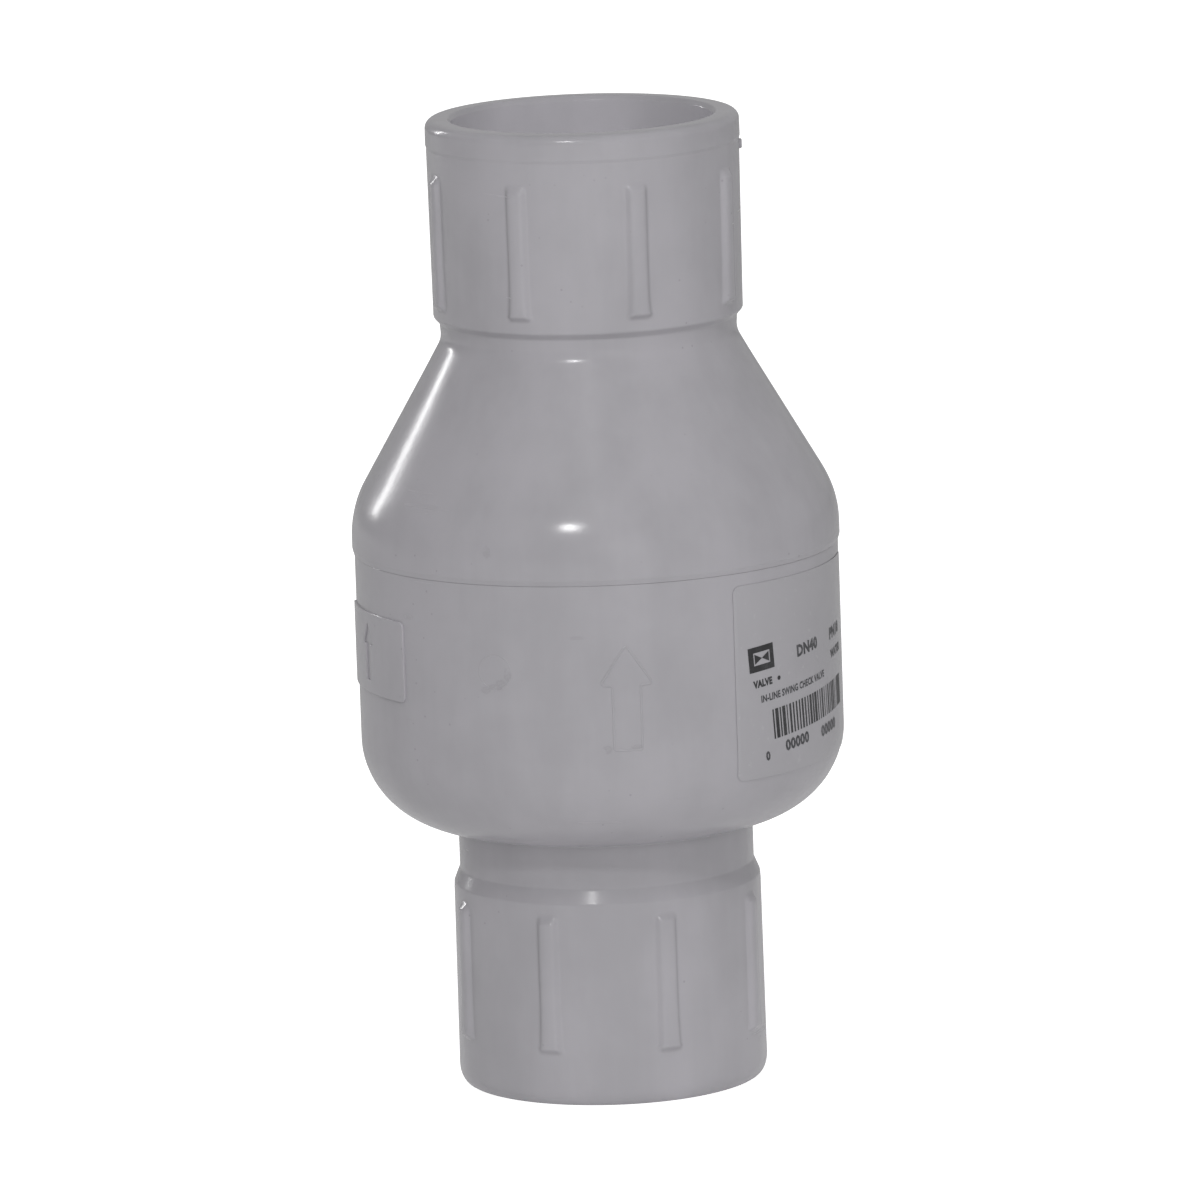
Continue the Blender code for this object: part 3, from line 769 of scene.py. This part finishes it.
def inlet_shell():
    r, z, dr, dz = DOME
    dome = oval_arc(r, z, dr, dz, 0, -86, 26)
    pr, pz, pdr, pdz = POCKET
    start = -90 + degrees(atan((30.4 - pr) / pdr)) + 2
    pocket = oval_arc(pr, pz, pdr, pdz, start, 0, 14)
    hub = rows((28.72, 28.86), 6.0, 36.9, (10.2, 35.7))
    rim = oval_arc(28.9 - 1.8, 3.4, 1.8, 3.4, 0, -90, 8)
    bore, outside, _ = SPIGOT_R
    mouth, end = SOCKET_R
    corners = (
        [(bore, SPIGOT_TOP, 0.3), (outside, SPIGOT_TOP, 0.5), (outside, SEAM_Z - 0.01),
         (BARREL_R, SEAM_Z - 0.01, 0.12), (BARREL_R, 90), (BARREL_R, 78)]
        + dome
        + [(NECK_R, 49.4, 0.9), (NECK_R, 40.9, 1.2), (28.66, 38.2, 1.3)]
        + hub + rim
        + [(25.0, 0.0, 0.4), (mouth, 1.0, 0.4)]
        + [(end, SOCKET_DEPTH, 0.2), (WATERWAY_R, SOCKET_DEPTH, 0.4)]
        + [(WATERWAY_R, 56.0, 0.2), (26.3, 56.0), (26.3, 66.6), (27.6, 66.6), (27.6, 68.2)]
        + [(26.3, 68.2), (26.5, 69.4, 0.3), (30.1, 69.4, 1.2), (30.4, 58.0)]
        + pocket
        + [(bore, 84.0), (bore, 98.0)]
    )
    shell = lathe("inlet_casing_body", rounded(corners, 6), PVC, rib_columns(INLET_RIBS[0]))
    ribbed(shell, *INLET_RIBS)
    pad = plate("bracket_pad", [rounded([(-18.3, 28.6, 1), (18.3, 28.6, 1), (18.3, 35.8, 2),
                                         (-18.3, 35.8, 2)])], 54.0, 66.0, PVC, 0.5)
    return tidy(joined("inlet_casing_body", shell, pad), 34.0)


def arrow_outline(width, low, high, shaft, head):
    """An upright arrow, (x, y), its middle on x = 0."""
    return [(-shaft, low), (shaft, low), (shaft, high - head), (width, high - head),
            (0, high), (-width, high - head), (-shaft, high - head)]


def dense(outline, step):
    points = []
    for (x0, y0), (x1, y1) in zip(outline, outline[1:] + outline[:1]):
        count = max(1, int(hypot(x1 - x0, y1 - y0) / step))
        points += [(x0 + (x1 - x0) * i / count, y0 + (y1 - y0) * i / count)
                   for i in range(count)]
    return points


def flow_arrow():
    """The raised outline of an arrow on the front of the barrel, along the flow."""
    middle = arc_length(-14.0)
    outline = rounded([(x, y, 0.5) for x, y in arrow_outline(5.0, 70.4, 90.0, 2.6, 7.5)], 4)
    line = dense(outline, 0.8)
    points = [(x + middle, y, -0.2) for x, y in line]
    return wrap_on_wall(wire("flow_arrow", points, 0.3, PVC, 12, True), BARREL_R)


def ring_mark():
    points = [(arc_length(-45.5) + 3.2 * cos(a), 85.0 + 3.2 * sin(a), -0.21)
              for a in even(48)]
    return wrap_on_wall(wire("ring_mark", points, 0.26, PVC, 10, True), BARREL_R)


def side_panel():
    """A raised panel on the barrel's side, with an arrow sunk through it."""
    half = arc_length(18.0)
    outer = rounded_box(-half, 77.2, half, 92.4, 1.2)
    arrow = rounded([(x, y, 0.2) for x, y in arrow_outline(2.6, 79.6, 90.4, 1.1, 4.0)], 3)
    flat = plate("side_panel", [dense(outer, 0.9), dense(arrow, 0.9)], -0.4, 0.36, PVC,
                 0.16)
    split_long_edges(flat, 0.9)
    moved(flat, (arc_length(-91.0), 0, 0))
    return tidy(wrap_on_wall(flat, BARREL_R), 40.0)


# --- seat ---

def seat_pieces():
    ring = lathe("seat_ring_body", rounded([
        (26.0, 66.6, 0.3), (26.0, 63.2, 0.15), (23.8, 63.2, 0.2), (23.8, 59.8, 0.2),
        (26.0, 59.8, 0.15), (26.0, 56.3, 0.3), (WATERWAY_R, 56.3, 0.4), (WATERWAY_R, 67.5, 0.4),
        (22.65, 67.5, 0.4), (23.35, 66.6, 0.3)], 4), DARK_PVC, 128)
    placed(ring, FIXED, "pvc_dark", "seat_ring")
    seal = lathe("seat_oring_body", oval_arc(25.05, 61.5, 0.95, 0.95, 0, -345, 23), RUBBER, 128)
    placed(seal, FIXED, "epdm_black", "seat_oring")
    ends = []
    for side in (-1, 1):
        a = radians(-90 + side * 7.4)
        ends.append((25.2 * cos(a), 25.2 * sin(a)))
    outer = oval_arc(0, 0, 27.25, 27.25, -90 + 5, 270 - 5, 110)
    inner = oval_arc(0, 0, 25.3, 25.3, 270 - 10, -90 + 10, 100)
    first, last = (oval_arc(0, 0, 24.2, 24.2, 270 - low, 270 - high, 1)
                   for low, high in ((5.2, 10), (-10, -5.2)))
    outline = outer + first + inner + last
    holes = [circle(x, y, 0.55, 16) for x, y in ends]
    snap = plate("seat_snap_ring_body", [outline] + holes, 66.9, 67.9, STAMPED, 0.12)
    placed(snap, FIXED, "stainless_steel", "seat_snap_ring")


# --- hinge ---

def bracket():
    x, y = SCREW_AT
    base = plate("base", [rounded_box(-18, 30.4, 18, 35.5, 1.2), circle(-x, y, 1.5),
                          circle(x, y, 1.5)], 66.3, BRACKET_TOP, STAMPED, 0.25)
    ears = []
    head = oval_arc(HINGE[1], HINGE[2], KNUCKLE_R, KNUCKLE_R, 15, 190, 24)
    side_view = [(35.3, 67.4), (35.3, 69.8)] + head + [(30.6, 70.4), (30.6, 67.4)]
    for side in (-1, 1):
        ear = plate("ear", [side_view, circle(HINGE[1], HINGE[2], PIN_R + 0.3)], -1.2, 1.2,
                    STAMPED, 0.25)
        middle = side * (EAR_X[0] + EAR_X[1]) / 2
        across_x(ear, middle)
        bend = plate("bend", [rounded([(0, 0), (2.0, 0), (0, 2.0, 0)])], 30.9, 35.2, STAMPED,
                     0.05)
        bend.data.transform(Matrix(((side, 0, 0, (middle + side * 1.1) * MM), (0, 0, 1, 0),
                                    (0, 1, 0, (BRACKET_TOP - 0.1) * MM), (0, 0, 0, 1))))
        ears += [ear, bend]
    whole = joined("hinge_bracket_body", base, *ears)
    placed(tidy(whole), FIXED, "stainless_steel", "hinge_bracket")


def screws():
    for name, side in (("bracket_screw_left", -1), ("bracket_screw_right", 1)):
        seat = BRACKET_TOP + 0.3
        dome = oval_arc(0, seat + 0.5, 2.4, 1.5, 90, 0, 9)
        profile = dome + rounded([(2.4, seat + 0.3), (2.4, seat, 0.12), (1.15, seat, 0.2),
                                  (1.1, 61.0), (0.35, 59.3), (0, 59.2)], 3, False)[1:]
        body = lathe(name + "_body", profile, TURNED, 36, False)
        slots = []
        for turn in (0, 90):
            slot = plate("slot", [box(-1.45, -0.24, 1.45, 0.24)], seat + 1.0, seat + 3.0,
                         TURNED, 0.02)
            slots.append(moved(slot, (0, 0, 0), (0, 0, turn + 20 * side)))
        cut(body, *slots)
        thread = wire("thread", helix(1.08, 61.2, seat - 0.4, 0.9), 0.2, TURNED, 6)
        whole = moved(joined(name + "_body", body, thread),
                      (side * SCREW_AT[0], SCREW_AT[1], 0))
        placed(tidy(whole, 36.0), FIXED, "stainless_steel", name)


def onto_pin(obj):
    """Turns a piece made on Z so that it lies along the hinge, +Z to +X."""
    return moved(obj, HINGE, (0, 90, 0))


def pin_pieces():
    half = [(0, 13.6), (1.2, 13.6, 0.0), (PIN_R, 13.3, 0.1), (PIN_R, 12.5, 0.05), (1.05, 12.5),
            (1.05, 11.5), (PIN_R, 11.5, 0.05), (PIN_R, 8.0), (PIN_R, 3.0)]
    mirrored = [(c[0], -c[1], *c[2:]) for c in reversed(half)]
    pin = lathe("hinge_pin_body", rounded(half + mirrored, 3, False), PIN_STEEL, 48, False)
    placed(onto_pin(pin), FIXED, "stainless_steel", "hinge_pin")
    outside = oval_arc(0, 0, 3.2, 3.2, 34, 326, 40)
    inside = []
    for a in [326 - i * 4 for i in range(74)]:
        lobe = min(abs((a % 360) - m) for m in (60, 180, 300))
        reach = 1.34 if lobe < 18 else 2.1
        inside.append((reach * cos(radians(a)), reach * sin(radians(a))))
    for name, side in (("pin_clip_left", -1), ("pin_clip_right", 1)):
        clip = plate(name + "_body", [outside + inside], -0.22, 0.22, STAMPED, 0.06)
        across_x(clip, side * 12.03, HINGE[1], HINGE[2])
        placed(tidy(clip, 40.0), FIXED, "stainless_steel", name)
    for name, turn in (("pin_bush_left", -90), ("pin_bush_right", 90)):
        bush = lathe(name + "_body", rounded([
            (3.9, 8.7, 0.2), (3.9, 8.0, 0.2), (2.6, 8.0, 0.1), (2.6, 4.8, 0.25),
            (1.6, 4.8, 0.15), (1.6, 8.7, 0.15)], 3), ACETAL, 48)
        placed(moved(bush, HINGE, (0, turn, 0)), MOVING, "acetal_white", name)


def closing_spring():
    """The torsion coil on the pin, a leg on the bracket and a leg on the arm."""
    half, radius, thick, turns, per_turn = 3.4, 2.5, 0.35, 7, 30
    count = turns * per_turn
    base = BRACKET_TOP + 0.65
    x, y, z = HINGE
    first = rounded([(34.8, base), (31.2, base, 1.2), (28.6, base + 3.0, 2.0), (28.5, z)], 6,
                    False)
    points = [(-half, *p) for p in first[:-1]]
    for i in range(count + 1):
        a = pi - 2 * pi * i / per_turn
        points.append((-half + 2 * half * i / count, y + radius * cos(a), z + radius * sin(a)))
    leg = ARM_Z[1] + 0.7
    last = rounded([(28.5, z), (28.5, leg, 0.9), (19.6, leg, 0.3), (19.2, leg + 0.3)], 6, False)
    points += [(half, *p) for p in last[1:]]
    coil = wire("closing_spring_body", points, thick, WIRE, 12)
    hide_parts("closing_spring")
    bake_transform(coil)


# --- flapper ---

def arm():
    inside, outside = KNUCKLE_X[0] + 0.2, KNUCKLE_X[1] - 0.25
    end = HINGE[1] - KNUCKLE_R + 0.9
    right = [(inside, end - 3.0, 1.2), (inside, end), (outside, end), (outside, 22.0, 3.0),
             (6.3, 11.0, 2.0)]
    nose = oval_arc(0, 0, 8.5, 8.5, 50, -230, 40)
    outline = (rounded(right, 4, False) + nose
               + [(-x, y) for x, y in reversed(rounded(right, 4, False))])
    web = plate("web", [outline, circle(0, 0, 2.8)], ARM_Z[0], ARM_Z[1] - 0.8, DARK_PVC, 0.25)
    boss = lathe("boss", rounded([(6.6, ARM_Z[1], 0.3), (6.9, ARM_Z[0] + 1, 0), (2.8, ARM_Z[0] + 1),
                                  (2.8, ARM_Z[1], 0.2)], 4), DARK_PVC, 64)
    parts = [web, boss]
    for side in (-1, 1):
        rib = plate("rib", [rounded([(side * 5.0, 5.2, 0.2), (side * 6.3, 5.2, 0.2),
                                     (side * 7.2, 26.5), (side * 5.6, 26.5)], 3)],
                    ARM_Z[0] + 0.6, ARM_Z[1], DARK_PVC, 0.25)
        near, far = KNUCKLE_X
        tube = lathe("tube", rounded([(KNUCKLE_R, far, 0.25), (KNUCKLE_R, near, 0.25),
                                      (2.9, near, 0.15), (2.9, far, 0.15)], 4), DARK_PVC, 64)
        parts += [rib, moved(tube, HINGE, (0, 90 * side, 0))]
    whole = joined("flapper_arm_body", *parts)
    placed(tidy(whole), MOVING, "pvc_dark", "flapper_arm")


def disc():
    low, top = 70.6, 73.4
    body = lathe("disc", rounded([
        (8.2, top, 0.3), (9.0, top - 1.1, 0.5), (21.2, top - 1.1, 0.5), (21.8, top - 0.4, 0.3),
        (24.2, top - 0.5, 0.4), (DISC_R, low + 0.8), (DISC_R, low, 0.2), (2.8, low, 0.1),
        (2.8, top, 0.2)], 4), DARK_PVC, 128)
    rib = plate("rib", [box(8.0, -0.6, 21.9, 0.6)], top - 1.5, top - 0.5, DARK_PVC, 0.2)
    run_group(body, ROUND, DARK_PVC, Piece=rib, Count=12, First=radians(15))
    drop(rib)
    well = lathe("well", rounded([(4.3, top - 0.3, 0.3), (4.5, low + 0.6), (3.3, low + 0.6),
                                  (3.3, top - 0.3, 0.15)], 4), DARK_PVC, 48)
    whole = joined("flapper_disc_body", body, moved(well, (0, BUMPER_Y, 0)))
    placed(tidy(whole), MOVING, "pvc_dark", "flapper_disc")
    facing = lathe("disc_facing_body", rounded([
        (24.3, 70.3, 0.2), (24.3, 68.3, 0.5), (23.6, 67.8, 0.3), (23.2, 67.95, 0.2),
        (20.6, 67.95, 0.2), (20.2, 67.8, 0.3), (2.8, 67.8), (2.8, 70.3)], 5), RUBBER, 128)
    placed(facing, MOVING, "epdm_black", "disc_facing")
    retainer = lathe("facing_retainer_body", rounded([
        (17.5, 67.5, 0.1), (17.5, 66.5, 0.3), (16.6, 65.6, 0.3), (7.4, 65.6, 0.3),
        (6.9, 65.95, 0.3), (6.0, 65.95, 0.3), (5.6, 65.6, 0.3), (2.8, 65.6, 0.1), (2.8, 67.5)],
        4), STAMPED, 96)
    placed(retainer, MOVING, "stainless_steel", "facing_retainer")


def hexagon(name, low, high, faces_up, faces_down, hole=None):
    """A hexagon, 8 mm across its flats, with the corners turned off at its faces."""
    outline = circle(0, 0, HEX_CORNER_R, 6)
    block = plate(name, [outline] + ([circle(0, 0, hole, 40)] if hole else []), low, high,
                  TURNED, 0.03, 1)
    top = HEX_TURNED_OFF if faces_up else 0.0
    bottom = HEX_TURNED_OFF if faces_down else 0.0
    flat, widest = HEX_CORNER_R - 0.1, HEX_CORNER_R + 0.2
    keep = [(0, high + 0.01), (flat - top, high + 0.01), (widest, high - 0.18 - top * 0.5),
            (widest, low + 0.18 + bottom * 0.5), (flat - bottom, low - 0.01), (0, low - 0.01)]
    return cut(block, lathe("keep", keep, TURNED, 64, False), operation="INTERSECT")


def fasteners():
    shank = lathe("shank", rounded([(0, 83.4), (2.05, 83.4, 0.0), (2.25, 83.1, 0.1),
                                    (2.25, 77.6), (2.42, 77.4), (2.42, 65.0), (0, 65.0)], 3,
                                   False), TURNED, 48, False)
    thread = wire("thread", helix(2.24, 77.5, 83.0, 0.8, 36), 0.25, TURNED, 6)
    mark_ring = lathe("head_mark", rounded([(2.9, 62.0, 0), (2.9, 61.98), (2.5, 61.98),
                                            (2.5, 62.0)], 1), TURNED, 48)
    bolt = joined("disc_bolt_body", shank, thread, mark_ring,
                  hexagon("head", 62.0, 65.3, False, True))
    placed(tidy(bolt, 34.0, 0.0005), MOVING, "stainless_steel", "disc_bolt")
    washer = lathe("disc_washer_body", rounded([(5.5, 78.5, 0.15), (5.5, 77.5, 0.1),
                                                (2.8, 77.5, 0.1), (2.8, 78.5, 0.15)], 3),
                   STAMPED, 64)
    placed(washer, MOVING, "stainless_steel", "disc_washer")
    nut = hexagon("disc_nut_body", 78.8, 82.3, True, True, 2.8)
    liner = wire("nut_thread", helix(2.85, 78.95, 82.1, 0.8, 32), 0.22, TURNED, 6)
    placed(tidy(joined("disc_nut_body", nut, liner), 34.0, 0.0005), MOVING, "stainless_steel",
           "disc_nut")


def bumper():
    body = lathe("stop_bumper_body", [(0, 80.5)] + oval_arc(0.8, 78.3, 2.2, 2.2, 90, 8, 10)
                 + rounded([(2.98, 77.9), (2.98, 75.2, 0.1), (2.7, 75.0, 0.1), (2.7, 74.6, 0.1),
                            (3.0, 74.4, 0.1), (3.0, 72.2, 0.2), (0, 72.2)], 3, False)[1:],
                 RUBBER, 48, False)
    placed(tidy(moved(body, (0, BUMPER_Y, 0))), MOVING, "epdm_black", "stop_bumper")


# --- label ---

def words(name, text, height, mat, stretch=1.0, bold=0.0):
    """Flat lettering, its lower left corner at the origin."""
    curve = bpy.data.curves.new(name, "FONT")
    curve.body = text
    curve.size = height / 0.72 * MM
    curve.space_character = 1.06
    curve.offset = bold * MM
    curve.resolution_u = 2
    return moved(from_curve(curve, mat), scale=(stretch, 1, 1))


def flat_shape(name, outline, mat):
    return add_mesh(name, [(x, y, 0) for x, y in outline], [], [list(range(len(outline)))], mat)


def printing():
    """Generic label print: a valve sign, a size, a description, a code and its digits."""
    made = []

    def put(obj, x, y):
        made.append(moved(obj, (x, y, 0)))

    sign = [
        box(0, 0, 6.2, 1.2), box(0, 3.6, 6.2, 4.7), box(0, 1.2, 1.2, 3.6), box(5.2, 1.2, 6.2, 3.6),
        [(1.45, 1.45), (3.2, 2.4), (1.45, 3.35)], [(4.95, 1.45), (4.95, 3.35), (3.2, 2.4)],
    ]
    for outline in sign:
        put(flat_shape("sign", outline, INK), 3.8, 22.3)
    put(words("kind_words", "VALVE", 1.3, INK, 0.84, 0.11), 4.5, 19.4)
    put(flat_shape("dot", circle(0, 0, 0.42, 12), INK), 10.9, 20.0)
    put(words("size_words", "DN40", 2.1, GREY_INK, 0.96, 0.14), 16.6, 22.6)
    put(words("rating_words", "PN10", 2.1, GREY_INK, 0.92, 0.14), 30.0, 22.4)
    put(words("use_words", "WATER", 1.5, GREY_INK, 0.9, 0.1), 30.2, 18.8)
    put(words("description", "IN-LINE SWING CHECK VALVE", 1.3, GREY_INK, 0.78, 0.06), 5.9, 16.4)
    bars = add_mesh("code", [], [], [])
    run_group(bars, BARS, INK, Count=29, Pitch=0.95 * MM, Height=5.6 * MM, Narrow=0.14 * MM,
              Wide=0.98 * MM, Seed=23)
    put(bars, 8.6, 11.7)
    put(words("digit_first", "0", 1.6, GREY_INK, 0.9, 0.12), 5.9, 5.4)
    put(words("digits_left", "00000", 2.0, GREY_INK, 1.0, 0.12), 11.2, 6.0)
    put(words("digits_right", "00000", 2.0, GREY_INK, 1.0, 0.12), 23.4, 5.5)
    sheet = joined("label_print", *made)
    bm = bmesh.new()
    bm.from_mesh(sheet.data)
    bmesh.ops.recalc_face_normals(bm, faces=bm.faces)
    for face in bm.faces:
        if face.normal.z < 0:
            face.normal_flip()
    bm.to_mesh(sheet.data)
    bm.free()
    moved(sheet, (0, 0, 0), (0, 0, LABEL_TURN))
    split_long_edges(sheet, 1.0)
    moved(sheet, (arc_length(LABEL_SPAN[0]) + 1.2, LABEL_Z[0] - 2.6, 0))
    return wrap_on_wall(sheet, PRINT_R)


def label():
    half = arc_length(LABEL_SPAN[1] - LABEL_SPAN[0]) / 2
    tall = (LABEL_Z[1] - LABEL_Z[0]) / 2
    outline = rounded_box(-half, -tall, half, tall, 1.5, 6)
    film = plate("label_film_body", [dense(outline, 1.0)], 0.0, 0.05, FILM, 0.02, 1)
    moved(film, (arc_length(sum(LABEL_SPAN) / 2), sum(LABEL_Z) / 2, 0))
    split_long_edges(film, 1.0, (62.8, 63.5, 64.2, 64.9, 65.6, 66.3))
    tidy(wrap_on_wall(film, FILM_R - 0.05), 40.0)
    placed(film, FIXED, "label_film", "label")
    placed(printing(), FIXED, "label_film")


# --- the valve ---

placed(outlet_shell(), FIXED, "pvc_grey", "outlet_casing")
placed(inlet_shell(), FIXED, "pvc_grey", "inlet_casing")
placed(joined("barrel_marks", flow_arrow(), ring_mark(), side_panel()), FIXED, "pvc_grey")
seat_pieces()
bracket()
screws()
pin_pieces()
closing_spring()
arm()
disc()
fasteners()
bumper()
label()


# --- camera, floor and light ---

def aimed(obj, target, roll=0.0):
    away = Vector(target) * MM - obj.location
    facing = away.to_track_quat("-Z", "Y").to_matrix().to_4x4()
    obj.rotation_euler = (facing @ Matrix.Rotation(roll, 4, "Z")).to_euler()
    return obj


def around(azimuth, distance, height):
    a = radians(azimuth)
    return Vector((distance * sin(a), -distance * cos(a), height)) * MM


def camera():
    data = bpy.data.cameras.new("camera")
    data.sensor_width = 36.0
    data.lens = LENS
    data.clip_start, data.clip_end = 0.1, 100.0
    obj = bpy.data.objects.new("camera", data)
    bpy.context.scene.collection.objects.link(obj)
    obj.location = around(VIEW_AZIMUTH, VIEW_DISTANCE, LENGTH + VIEW_RISE)
    a = radians(VIEW_AZIMUTH)
    aimed(obj, (VIEW_ASIDE * cos(a), VIEW_ASIDE * sin(a), LENGTH / 2 - VIEW_BELOW_MIDDLE),
          VIEW_ROLL)
    bpy.context.scene.camera = obj


def panel_light(name, azimuth, distance, height, size, power, target=90.0, glints=False):
    data = bpy.data.lights.new(name, "AREA")
    data.shape = "RECTANGLE"
    data.size, data.size_y = size
    data.energy = power
    obj = bpy.data.objects.new(name, data)
    bpy.context.scene.collection.objects.link(obj)
    obj.location = around(azimuth, distance, height)
    obj.visible_glossy = glints
    aimed(obj, (0, 0, target))


def backdrop():
    """White to the camera; a soft grey to the valve, darker on its left."""
    world = bpy.data.worlds.new("studio")
    world.use_nodes = True
    bpy.context.scene.world = world
    n = Nodes(world.node_tree)
    ground = world.node_tree.nodes["Background"]
    ground.inputs[0].default_value = WHITE
    seen = n.add("ShaderNodeLightPath").outputs["Is Camera Ray"]
    towards = n.add("ShaderNodeTexCoord").outputs["Generated"]
    side = n.add("ShaderNodeVectorMath", {0: towards, 1: (0.99, -0.14, 0.05)},
                 operation="DOT_PRODUCT").outputs["Value"]
    soft = n.span(side, -0.85, 0.3, 0.25, 0.43)
    keep = n.math("SUBTRACT", 1.0, seen)
    n.tree.links.new(n.math("ADD", seen, n.math("MULTIPLY", soft, keep)), ground.inputs[1])


def studio_floor():
    """A white floor that glows a little close to the valve."""
    floor = lathe("studio_floor", [(0, -0.05), (400, -0.05), (9000, -0.05)], None, 64, False)
    for face in floor.data.polygons:
        face.use_smooth = False
    mat, n, shader, coords = new_material("white_floor")
    shader.inputs["Base Color"].default_value = (0.8, 0.8, 0.8, 1.0)
    shader.inputs["Roughness"].default_value = 0.9
    shader.inputs["Specular IOR Level"].default_value = 0.0
    seen = n.add("ShaderNodeLightPath").outputs["Is Camera Ray"]
    bounce = n.span(n.length(coords), 0.05, 0.32, 0.16, 0.02)
    link(n, n.math("MAXIMUM", bounce, n.math("MULTIPLY", seen, 0.9)), shader, "Emission Strength")
    shader.inputs["Emission Color"].default_value = WHITE
    floor.data.materials.append(mat)


def lights():
    """A small key and a tall window make the glints; the rest only shade, one of them from
    inside the outlet socket."""
    panel_light("key", -33.0, 1500.0, 1160.0, (0.16, 0.14), 4.2, glints=True)
    panel_light("window", -153.0, 1500.0, 520.0, (0.11, 0.55), 2.8, glints=True)
    panel_light("fill", -8.0, 2500.0, 560.0, (1.4, 1.0), 13.4)
    panel_light("overhead", -22.0, 1500.0, 1700.0, (0.45, 0.45), 7.6)
    panel_light("inner_glow", -20.0, 14.0, 148.0, (0.02, 0.02), 0.007, target=166.0)


bpy.context.scene.view_settings.view_transform = "Standard"
bpy.context.scene.view_settings.look = "None"
camera()
backdrop()
studio_floor()
lights()
